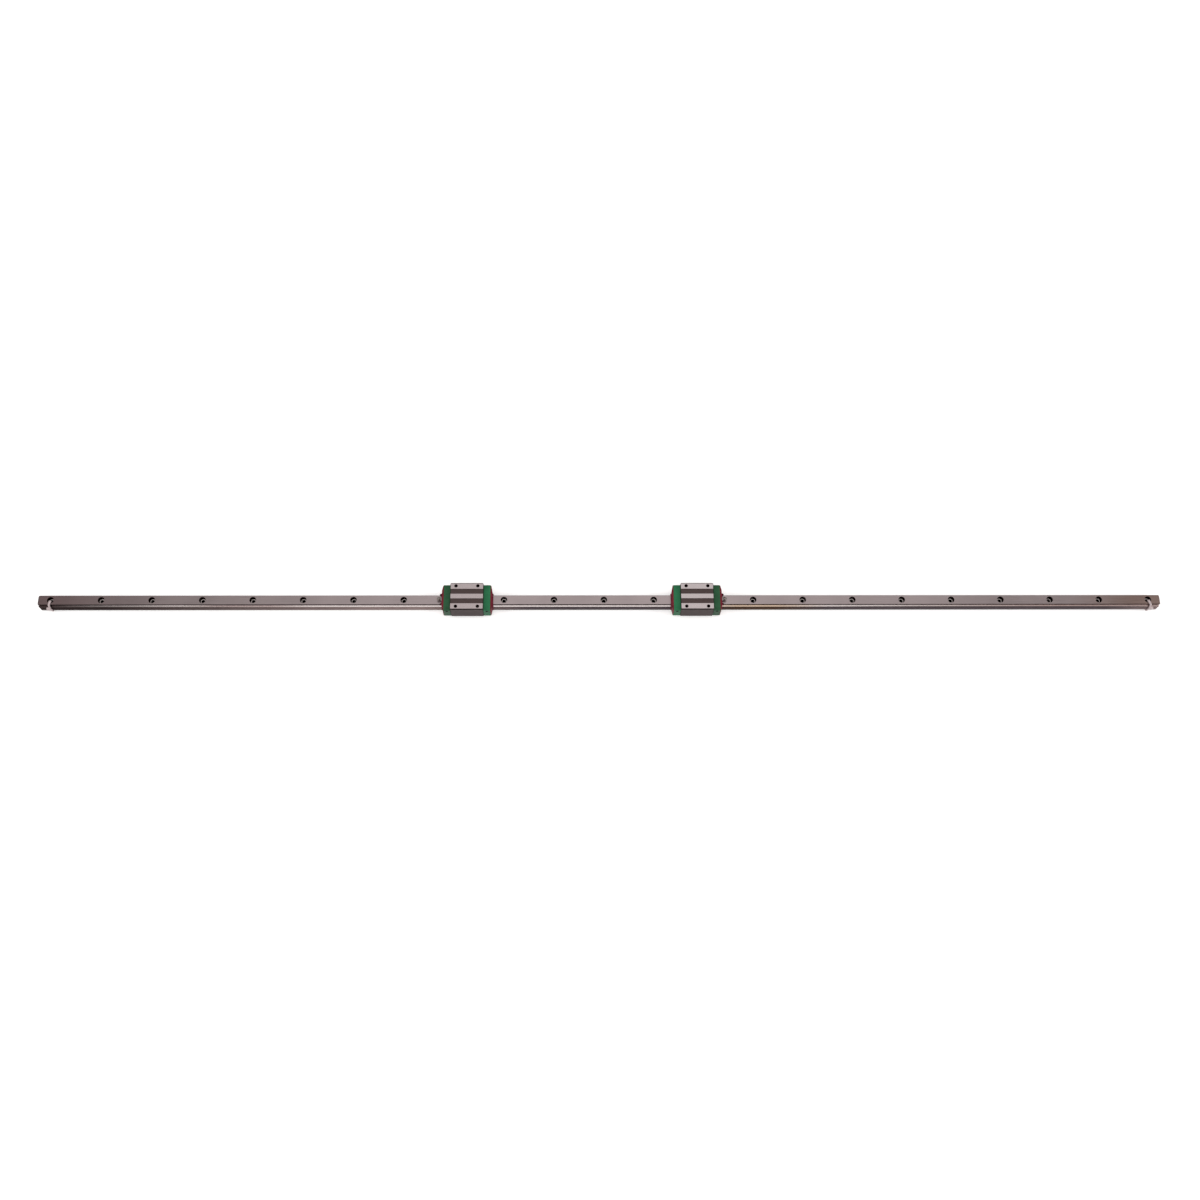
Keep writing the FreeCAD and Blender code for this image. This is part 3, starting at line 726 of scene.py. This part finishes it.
paint_faces(rail, rail_finish,
            [rail_ground, rail_track, skin_oil_and_painted_shade, neck_painted_shade, hole_wall_painted_shade, seat_painted_highlight, sawn_end])
hand_in(rail, "rail", "rail_steel", "rail")

# %% [markdown]
# ## Carriage blocks
# A block is a steel saddle over the rail with three ground lands on top and two darker grooves between
# them. Its upright corners are cut back to the width of the caps, so the sections near each end have
# their widest points drawn in. The last section is smaller all round but for the channel, which breaks the
# edges of the ends. Four holes are drilled for M4 screws.

# %% Block section
BLOCK_LENGTH = (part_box("left_block")[1].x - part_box("left_block")[0].x) / MM
BLOCK_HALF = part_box("left_block")[1].y / MM
BLOCK_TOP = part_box("left_block")[1].z / MM - LIFT
BLOCK_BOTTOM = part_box("left_block")[0].z / MM - LIFT
CAP_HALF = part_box("left_cap_outer")[1].y / MM
CAP_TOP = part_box("left_cap_outer")[1].z / MM - LIFT
CAP_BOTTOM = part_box("left_cap_outer")[0].z / MM - LIFT
CAP_LENGTH = (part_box("left_cap_outer")[1].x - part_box("left_cap_outer")[0].x) / MM
CHANNEL_HALF = NECK_HALF + 0.6
CHANNEL_TOP = RAIL_TOP + 1.2
LIP_Y = RAIL_HALF + 0.5
GROOVE_FLOOR = BLOCK_TOP - 0.8
LAND_HALF = 3.0
OUTER_LAND = 9.2
TOP_EDGE = 1.0
LOWER_EDGE = 0.6
mouth = math.degrees(math.acos((CHANNEL_HALF - RAIL_HALF) / TRACK_R))
lip = math.degrees(math.acos((LIP_Y - RAIL_HALF) / TRACK_R))

block_half = [(CHANNEL_HALF, CHANNEL_TOP)] + arc(RAIL_HALF, UPPER_ROW_Z, TRACK_R, mouth, 0)
block_half += arc(RAIL_HALF, LOWER_ROW_Z, TRACK_R, 0, -lip)
block_half += [(LIP_Y, BLOCK_BOTTOM), (BLOCK_HALF - LOWER_EDGE, BLOCK_BOTTOM),
               (BLOCK_HALF, BLOCK_BOTTOM + LOWER_EDGE), (BLOCK_HALF, BLOCK_TOP - TOP_EDGE),
               (BLOCK_HALF - TOP_EDGE, BLOCK_TOP), (OUTER_LAND, BLOCK_TOP), (OUTER_LAND, GROOVE_FLOOR),
               (LAND_HALF, GROOVE_FLOOR), (LAND_HALF, BLOCK_TOP)]
block_section = both_sides(block_half)
print("block", round(BLOCK_LENGTH, 1), "x", 2 * BLOCK_HALF, "mm, section of", len(block_section), "points")


# %% Block with its holes
TAP_SPACING = 26.0
TAP_R = 1.95
TAP_MOUTH_R = 2.1
TAP_DEPTH = 6.0
TAP_TIP = 1.0
TAP_MARGIN = 1.5
BLOCK_EASE = 0.15
EDGE_MARGIN = 0.1
END_BREAK = 0.4
SIDE_STEP = BLOCK_HALF - CAP_HALF


def centre_of(side):
    """The X of the middle of a carriage, in millimetres."""
    low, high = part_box(side + "_block")
    return (low.x + high.x) / 2 / MM


def at_taps(name, piece, side, height):
    """Copies of a piece at a carriage's four tapped holes, at a height above the rail's underside."""
    first = (centre_of(side) - TAP_SPACING / 2, -TAP_SPACING / 2, height + LIFT)
    return in_rows(name, piece, first, 2, (TAP_SPACING, 0, 0), 2, (0, TAP_SPACING, 0))


def drawn_in(outline, half):
    """A section whose widest points are drawn in to a half width."""
    return [(max(-half, min(half, y)), z) for y, z in outline]


def make_block(side):
    """A carriage's block with its four holes."""
    middle = centre_of(side)
    round_section = eased(block_section, BLOCK_EASE)
    smaller = eased(grown(block_section, -END_BREAK), BLOCK_EASE)
    broken = [(y, z) if abs(y) < OUTER_LAND and z < CHANNEL_TOP + END_BREAK else less
              for (y, z), less in zip(round_section, smaller)]
    ends = [(0, drawn_in(broken, CAP_HALF - END_BREAK)),
            (END_BREAK, drawn_in(round_section, CAP_HALF)),
            (SIDE_STEP, round_section)]
    sections = [(middle - BLOCK_LENGTH / 2 + x, outline) for x, outline in ends]
    sections += [(middle + BLOCK_LENGTH / 2 - x, outline) for x, outline in reversed(ends)]
    block = as_object(side + "_block_steel", bar(sections), block_painted_shade)
    cutter = as_object("tap_cutter", lathe([
        (0, -TAP_DEPTH - TAP_TIP), (TAP_R, -TAP_DEPTH), (TAP_R, TAP_R - TAP_MOUTH_R),
        (TAP_MOUTH_R + PAST, PAST), (0, PAST)], sides=48), hole_wall_painted_shade)
    return shade(combine(block, at_taps("tap_cutters", cutter, side, BLOCK_TOP), "DIFFERENCE"))


def block_finish(x, y, z, normal):
    """Lands are ground bright and grooves dark; edges, hole walls and the rest are painted shade."""
    edge = TOP_EDGE + EDGE_MARGIN
    if normal.z > FACING and z > BLOCK_TOP - 0.05:
        return land_ground
    # Top edges and end breaks take the black painted shade.
    if z > BLOCK_TOP - edge and (abs(y) > BLOCK_HALF - edge or abs(normal.x) > LEANING):
        return block_edge_painted_shade
    if z >= BLOCK_TOP - TOP_EDGE:
        return groove_skin
    in_tap = abs(y) < BLOCK_HALF - TAP_MARGIN and z > BLOCK_TOP - TAP_DEPTH - TAP_MARGIN
    return hole_wall_painted_shade if in_tap else block_painted_shade


for side in ("left", "right"):
    block = make_block(side)
    paint_faces(block, block_finish, [land_ground, groove_skin, block_painted_shade, block_edge_painted_shade, hole_wall_painted_shade])
    hand_in(block, side + "_carriage", "block_steel", side + "_block")

# %% [markdown]
# The M4 threads are ridges that wind round the drilled walls. A second Geometry Nodes tree winds a spiral
# and gives it a four-cornered profile: one corner is the thread's crest, the opposite one is buried in the
# wall.

# %% Threads
THREAD_PITCH = 0.7
THREAD_RIDGE = 0.3
THREAD_LENGTH = 5.2
THREAD_RISE = 0.3


def make_thread_tree():
    """A ridge that winds up a cylinder."""
    tree, given = new_tree("screw_thread", {
        "Pitch": "Float", "Length": "Float", "Radius": "Float", "Ridge": "Float", "Finish": "Material"})
    turns = add_node(tree, "ShaderNodeMath", {"operation": "DIVIDE"},
                     {0: given["Length"], 1: given["Pitch"]})
    spiral = add_node(tree, "GeometryNodeCurveSpiral", None,
                      {"Resolution": 24, "Rotations": turns.outputs[0], "Start Radius": given["Radius"],
                       "End Radius": given["Radius"], "Height": given["Length"]})
    upright = add_node(tree, "GeometryNodeSetCurveNormal", {"mode": "Z_UP"},
                       {"Curve": spiral.outputs["Curve"]})
    ridge = add_node(tree, "GeometryNodeCurvePrimitiveCircle", None,
                     {"Resolution": 4, "Radius": given["Ridge"]})
    wound = add_node(tree, "GeometryNodeCurveToMesh", None,
                     {"Curve": upright.outputs["Curve"], "Profile Curve": ridge.outputs["Curve"],
                      "Fill Caps": True})
    return end_tree(tree, wound.outputs["Mesh"], given["Finish"])


THREAD_TREE = make_thread_tree()

for side in ("left", "right"):
    # The threads take the hole walls' black painted shade.
    thread = from_tree("thread", THREAD_TREE, {
        "Pitch": THREAD_PITCH * MM, "Length": THREAD_LENGTH * MM, "Radius": TAP_R * MM,
        "Ridge": THREAD_RIDGE * MM, "Finish": hole_wall_painted_shade})
    threads = at_taps(side + "_tap_threads", thread, side, BLOCK_TOP - TAP_DEPTH + THREAD_RISE)
    hand_in(shade(threads), side + "_carriage", "block_steel")

# %% [markdown]
# ## End caps
# A cap is a green moulding that turns the balls round at each end of the block. It is a bar again, open
# below for the rail, with a blind grease port in each side, dark with grease and painted shade.

# %% Cap section
CAP_PLAY = 0.5
CAP_LOWER_EDGE = 0.5
CAP_CORNER_R = 1.5
CAP_EASE = 0.25
PORT_R = 1.3
PORT_DEPTH = 2.5
GREASE_Z = CAP_TOP - GREASE_DROP


def channel(play, bottom):
    """The opening round the rail with some play, from the middle of its top down to a height."""
    outline = grown(rail_section, play)
    half = list(reversed(outline[:len(outline) // 2]))
    above = [p for p in half if p[1] > bottom + 0.05]
    return above + [(above[-1][0], bottom)]


def cap_section(inset, play):
    """The end view of a cap or seal, open below for the rail."""
    half, top, bottom = CAP_HALF - inset, CAP_TOP - inset, CAP_BOTTOM + inset
    outer = [(half - CAP_LOWER_EDGE, bottom), (half, bottom + CAP_LOWER_EDGE)]
    outer += arc(half - CAP_CORNER_R, top - CAP_CORNER_R, CAP_CORNER_R, 0, 90, 8)
    return both_sides(channel(play, bottom) + outer)


print("cap section of", len(cap_section(0, CAP_PLAY)), "points")


# %% Caps
ENDS = [("left", "outer", -1), ("left", "inner", 1), ("right", "outer", 1), ("right", "inner", -1)]


def beyond_block(side, sign, distance):
    """The X of a place at a distance beyond the end of a carriage's block."""
    return centre_of(side) + sign * (BLOCK_LENGTH / 2 + distance)


def make_cap(side, end, sign):
    """A cap with a grease port in each side."""
    near, middle, far = (beyond_block(side, sign, part * CAP_LENGTH) for part in (0, 0.5, 1))
    low, high = sorted((near, far))
    cap = as_object(side + "_cap_" + end + "_moulding", bar(
        eased_ends(low, high, cap_section(0, CAP_PLAY), CAP_EASE)), cap_green)
    cutter = as_object("port_cutter", lathe([
        (0, -PORT_DEPTH), (PORT_R, -PORT_DEPTH), (PORT_R, PORT_DEPTH), (0, PORT_DEPTH)],
        sides=32), port_grease_and_painted_shade)
    cutter.data.transform(Matrix.Rotation(math.pi / 2, 4, "X"))
    ports = in_pair("port_cutters", cutter, middle, CAP_HALF, GREASE_Z + LIFT)
    shade(combine(cap, ports, "DIFFERENCE"))
    body = cap_greased if end == "outer" else cap_green

    def cap_finish(x, y, z, normal):
        # The port's walls and floor get the grease and painted shade.
        in_port = CAP_HALF - PORT_DEPTH - PAST < abs(y) < CAP_HALF - 0.01
        return port_grease_and_painted_shade if in_port and math.hypot(x - middle, z - GREASE_Z) < PORT_R else body

    paint_faces(cap, cap_finish, [body, port_grease_and_painted_shade])
    return cap


for side, end, sign in ENDS:
    hand_in(make_cap(side, end, sign), side + "_carriage", "cap_green", side + "_cap_" + end)

# %% [markdown]
# ## End seals
# A seal is a red plate that covers the cap, bevelled towards both sides, with a raised rim close round the
# rail. The outer face of the plate has its widest points drawn in, which makes the bevels; the rim is a
# bar of its own that is welded on. Two round recesses take the screw heads, and the inner seals have a hole
# for a plug. On the outer seals, two black dabs stand on the rim just above the rail's edges, painted shade
# where the seal meets them; a dab is a stack of ovals, each a step further out and a share of the full
# size.

# %% Seals
SEAL_PLAY = 0.25
SEAL_INSET = 0.4
SEAL_PLATE = 2.2
SEAL_BEVEL_DEPTH = 1.4
SEAL_FLAT = CAP_HALF - SEAL_INSET - 7.0
SEAL_SHOULDER = SEAL_FLAT + 1.0
SEAL_RIM = 0.9
SEAL_EASE = 0.2
RIM_WALL = 1.9
RIM_ROOT = 0.5
RIM_CHAMFER = 1.0
PLUG_R = 1.6
SCREW_Y = CAP_HALF - 6.1
SCREW_Z = CAP_TOP - 4.0
SCREW_SEAT = 0.9
RECESS_R = 2.3
CUT_LENGTH = 9.0
DAB_OVAL = (1.5, 1.0)
DAB_Y = 6.1
DAB_RISE = 1.15
DAB_STEPS = ((-0.5, 0.96), (0.5, 1.0), (1.1, 0.9), (1.6, 0.66), (1.9, 0.4), (2.0, 0.15))


def rim_section():
    """The raised rim: the rail's outline grown, without its tracks."""
    outer, top, bottom = RAIL_HALF + RIM_WALL, RAIL_TOP + RIM_WALL, CAP_BOTTOM + SEAL_INSET
    neck = outer - TRACK_R
    return both_sides(channel(SEAL_PLAY, bottom) + [
        (outer, bottom), (outer, UPPER_ROW_Z - 0.5), (neck, UPPER_ROW_Z + 1.2), (neck, top - RIM_CHAMFER),
        (neck - RIM_CHAMFER, top)])


def aim(piece, sign, x, y, z):
    """Lays a turned piece along X, pointing to its sign, at a place above the rail's underside."""
    turn = Matrix.Rotation(sign * math.pi / 2, 4, "Y")
    piece.data.transform(Matrix.Translation(Vector((x, y, z + LIFT)) * MM) @ turn)
    return piece


def dab_section(scale):
    """A slice through a black dab on the rim, just above an edge of the rail."""
    return [(y * DAB_OVAL[0], RAIL_TOP + DAB_RISE + z * DAB_OVAL[1]) for y, z in polygon(scale, 20)]


def make_seal(side, end, sign):
    """A seal with its rim and recesses, and with a plug's hole or black dabs of painted shade."""
    near = beyond_block(side, sign, CAP_LENGTH)
    face = SEAL_PLATE + SEAL_RIM
    plate = cap_section(SEAL_INSET, SEAL_PLAY)
    round_plate = eased(plate, SEAL_EASE)
    steps = [(0, round_plate), (SEAL_PLATE - SEAL_BEVEL_DEPTH, round_plate),
             (SEAL_PLATE - SEAL_EASE, drawn_in(round_plate, SEAL_SHOULDER)),
             (SEAL_PLATE, drawn_in(eased(grown(plate, -SEAL_EASE), SEAL_EASE), SEAL_FLAT))]
    seal = as_object(side + "_seal_" + end + "_rubber",
                     bar([(near + sign * x, outline) for x, outline in steps]), seal_red)
    rim = rim_section()
    round_rim = eased(rim, SEAL_EASE)
    steps = [(RIM_ROOT, round_rim), (face - SEAL_EASE, round_rim),
             (face, eased(grown(rim, -SEAL_EASE), SEAL_EASE))]
    ring = as_object("rim", bar([(near + sign * x, outline) for x, outline in steps]), seal_red)
    combine(seal, ring, "UNION")
    cutter = as_object("recess_cutter", lathe([
        (0, 0), (RECESS_R, 0), (RECESS_R, CUT_LENGTH), (0, CUT_LENGTH)], sides=40), seal_red)
    aim(cutter, sign, 0, 0, -LIFT)
    recesses = in_pair("recess_cutters", cutter, near + sign * SCREW_SEAT, SCREW_Y, SCREW_Z + LIFT)
    combine(seal, recesses, "DIFFERENCE")
    if end == "inner":
        cutter = as_object("plug_cutter", lathe([
            (0, -PAST), (PLUG_R, -PAST), (PLUG_R, CUT_LENGTH), (0, CUT_LENGTH)], sides=32), seal_red)
        combine(seal, aim(cutter, sign, near, 0, GREASE_Z), "DIFFERENCE")
        return shade(seal)
    # Two black dabs of painted shade just above the rail's edges.
    dab = bar([(near + sign * (face + x), dab_section(scale)) for x, scale in DAB_STEPS])
    combine(seal, in_pair("dabs", as_object("dab", dab, seal_red), 0, DAB_Y, 0), "UNION")

    def seal_finish(x, y, z, normal):
        # Faces beyond the rim are the dabs' black painted shade.
        return dab_painted_shade if sign * (x - near) > face + 0.02 else seal_red

    paint_faces(shade(seal), seal_finish, [seal_red, dab_painted_shade])
    return seal


for side, end, sign in ENDS:
    hand_in(make_seal(side, end, sign), side + "_carriage", "seal_red", side + "_seal_" + end)

# %% [markdown]
# ## Screws and plugs
# Two low cross-recessed screws hold each seal and cap to the block, and a socket set screw plugs the
# grease hole of each inner end. They are turned; the recesses are cut by a tapered cross and a hexagon.

# %% Screws
SCREW_PROFILE = [(0, -1.5), (1.2, -1.5), (1.2, 0), (2.0, 0), (2.1, 0.1), (2.1, 0.45), (1.92, 0.7),
                 (1.45, 0.86), (0.8, 0.93), (0, 0.95)]
PLUG_PROFILE = [(0, -3), (PLUG_R - 0.05, -3), (PLUG_R - 0.05, -0.6), (PLUG_R - 0.25, -0.4), (0, -0.4)]
CROSS_STEPS = ((0.35, 0.4, 0.14), (1.3, 1.35, 0.26))
SOCKET_R = 0.87
SOCKET_FLOOR = -1.8
SOCKET_TURN = 0.1


def cross(length, width):
    """The outline of a cross with arms of a half length and half width."""
    quarter = [(length, -width), (length, width), (width, width)]
    turned = [quarter]
    for _ in range(3):
        turned.append([(-y, x) for x, y in turned[-1]])
    return [point for part in turned for point in part]


def make_screws(side, end, sign):
    """The two screws of a seal."""
    seat = beyond_block(side, sign, CAP_LENGTH + SCREW_SEAT)
    screw = as_object("screw", lathe(SCREW_PROFILE, sides=40), screw_black)
    recess = stack([(height, cross(length, width)) for height, length, width in CROSS_STEPS])
    combine(screw, as_object("recess", recess, screw_black), "DIFFERENCE")
    aim(screw, sign, 0, 0, -LIFT)
    return shade(in_pair(side + "_" + end + "_screws", screw, seat, SCREW_Y, SCREW_Z + LIFT))


def make_plug(side, sign):
    """The set screw in the grease hole of an inner seal."""
    plug = as_object(side + "_plug_screw", lathe(PLUG_PROFILE, sides=32), screw_black)
    hexagon = polygon(SOCKET_R, 6, SOCKET_TURN)
    socket = as_object("socket", stack([(SOCKET_FLOOR, hexagon), (PAST, hexagon)]), screw_black)
    combine(plug, socket, "DIFFERENCE")
    return shade(aim(plug, sign, beyond_block(side, sign, CAP_LENGTH + SEAL_PLATE), 0, GREASE_Z))


for side, end, sign in ENDS:
    hand_in(make_screws(side, end, sign), side + "_carriage", "nipple_steel")
    if end == "inner":
        hand_in(make_plug(side, sign), side + "_carriage", "nipple_steel")

# %% [markdown]
# ## Grease nipples
# A nipple is turned from hexagon bar: a hexagon against the seal, a neck and a tapered head with a small
# ball in its tip that lets grease in. The hexagon is a short bar with eased edges and the rest is turned.

# %% Nipples
HEX_FLATS = 4.5
HEX_LENGTH = 1.6
HEX_EASE = 0.2
BALL_R = 0.5
BALL_HEIGHT = 5.56
BALL_TURNS = (60, 45, 30, 15, 0)
STEM_PROFILE = [(0, -0.5), (1.3, -0.5), (1.3, 2.3), (1.4, 2.45), (1.9, 3.1), (2.0, 3.3), (2.0, 4.3),
                (1.92, 4.5), (1.0, 6.0), (0.9, 6.1), (0.65, 6.1), (0.56, 5.8)]
STEM_PROFILE += [(BALL_R * math.sin(math.radians(t)), BALL_HEIGHT + BALL_R * math.cos(math.radians(t)))
                 for t in BALL_TURNS]


def make_nipple(side, sign):
    """The nipple on an outer seal."""
    face = beyond_block(side, sign, CAP_LENGTH + SEAL_PLATE)
    low, high = sorted((face, face + sign * HEX_LENGTH))
    hexagon = [(y, GREASE_Z + z) for y, z in polygon(HEX_FLATS / math.sqrt(3), 6)]
    nipple = as_object(side + "_nipple_turned", bar(eased_ends(low, high, hexagon, HEX_EASE)), plated)
    stem = as_object("stem", lathe(STEM_PROFILE, sides=40), plated)
    combine(nipple, aim(stem, sign, face, 0, GREASE_Z), "UNION")
    return shade(nipple)


for side, sign in (("left", -1), ("right", 1)):
    hand_in(make_nipple(side, sign), side + "_carriage", "nipple_steel", side + "_nipple")

# %% [markdown]
# ## Cable ties
# A tie is a nylon strap with a square head. It goes down through an end hole, under the rail, up its front
# and back into the hole, so its middle line is a closed path in a plane through the hole's axis, turned a
# little about that axis. The strap's rounded section is set along the path, and the head, with the cut end
# of the strap in its slot, sits against the nose of the rail, a little towards the rail's end.

# %% Ties
STRAP_HALF = 1.25
STRAP_THICK = 1.0
STRAP_SLACK = 0.2
STRAP_EDGE = 0.25
STRAP_BEND = 0.8
HEAD_WIDTH, HEAD_DEPTH, HEAD_HEIGHT = 5.0, 2.8, 4.6
HEAD_EDGE = 0.6
HEAD_OUT = 1.2
SLOT_WIDTH, SLOT_DEPTH, SLOT_HEIGHT = 3.2, 0.8, 1.8
CUT_END_IN, CUT_END_DEEP, CUT_END_EDGE = 0.1, 1.3, 0.15
TIE_TURNS = {"left": -8.0, "right": 20.0}


def box_outline(y0, y1, z, height):
    """A rectangle from one Y to another with its middle at a height."""
    z0, z1 = z - height / 2, z + height / 2
    return [(y0, z0), (y1, z0), (y1, z1), (y0, z1)]


def strap_path(lean):
    """The strap's middle line in its own plane, as (distance from the hole's axis, height)."""
    spread = STRAP_SLACK + STRAP_HALF * math.sin(lean)
    front, shoulder = ((half + spread) / math.cos(lean) for half in (RAIL_HALF, NECK_HALF))
    in_hole = math.sqrt((HOLE_R - STRAP_SLACK) ** 2 - STRAP_HALF ** 2)
    over = RAIL_TOP + STRAP_SLACK
    loop = [(in_hole, 0), (front, 0), (front, UPPER_ROW_Z - TRACK_R), (shoulder, over), (in_hole, over)]
    return eased(grown(loop, STRAP_THICK / 2), STRAP_BEND, 6), front


def make_tie(side, hole_x):
    """A strap looped through an end hole, with its head and its cut end."""
    turn = math.radians(TIE_TURNS[side])
    path, reach = strap_path(abs(turn))
    along = Vector((math.sin(turn), -math.cos(turn), 0))
    across = Vector((math.cos(turn), math.sin(turn), 0))
    half = STRAP_THICK / 2
    section = eased(box_outline(-half, half, 0, 2 * STRAP_HALF), STRAP_EDGE)
    layers = [(grown(path, out), wide) for out, wide in section]
    rings = [[along * layer[i][0] + across * wide + Vector((hole_x, 0, layer[i][1] + LIFT))
              for layer, wide in layers] for i in range(len(path))]
    tie = as_object(side + "_tie_nylon", loft(rings, True), tie_nylon)
    middle = hole_x + (reach + half) * math.sin(turn) + math.copysign(HEAD_OUT, hole_x)
    back = -RAIL_HALF - STRAP_SLACK
    front = back - HEAD_DEPTH
    nose = (UPPER_ROW_Z + LOWER_ROW_Z) / 2

    def nylon_box(name, half_width, outline, edge):
        sections = eased_ends(middle - half_width, middle + half_width, outline, edge)
        return as_object(name, bar(sections), tie_nylon)

    head = nylon_box("head", HEAD_WIDTH / 2, box_outline(front, back, nose, HEAD_HEIGHT), HEAD_EDGE)
    mouth = box_outline(front - PAST, front + SLOT_DEPTH, nose, SLOT_HEIGHT)
    slot = bar([(middle - SLOT_WIDTH / 2, mouth), (middle + SLOT_WIDTH / 2, mouth)])
    combine(head, as_object("slot", slot, tie_nylon), "DIFFERENCE")
    end = box_outline(front + CUT_END_IN, back - CUT_END_DEEP, nose, STRAP_THICK)
    combine(head, nylon_box("cut_end", STRAP_HALF, end, CUT_END_EDGE), "UNION")
    combine(tie, head, "UNION")
    return shade(tie)


for side, hole_x in (("left", FIRST_HOLE), ("right", -FIRST_HOLE)):
    hand_in(make_tie(side, hole_x), "rail", "tie_nylon", side + "_tie")

# %% [markdown]
# ## Hidden pieces
# Balls, ball retainers and bottom seals keep their solids from the frame, whose shapes are right, and get
# their finishes.

# %% Finishes on the frame's own solids
HIDDEN = {"balls": ball_chrome, "retainers": retainer_natural, "bottom_seals": bottom_rubber}
for side in ("left", "right"):
    for piece, made in HIDDEN.items():
        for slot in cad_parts[side + "_" + piece].material_slots:
            slot.material = made
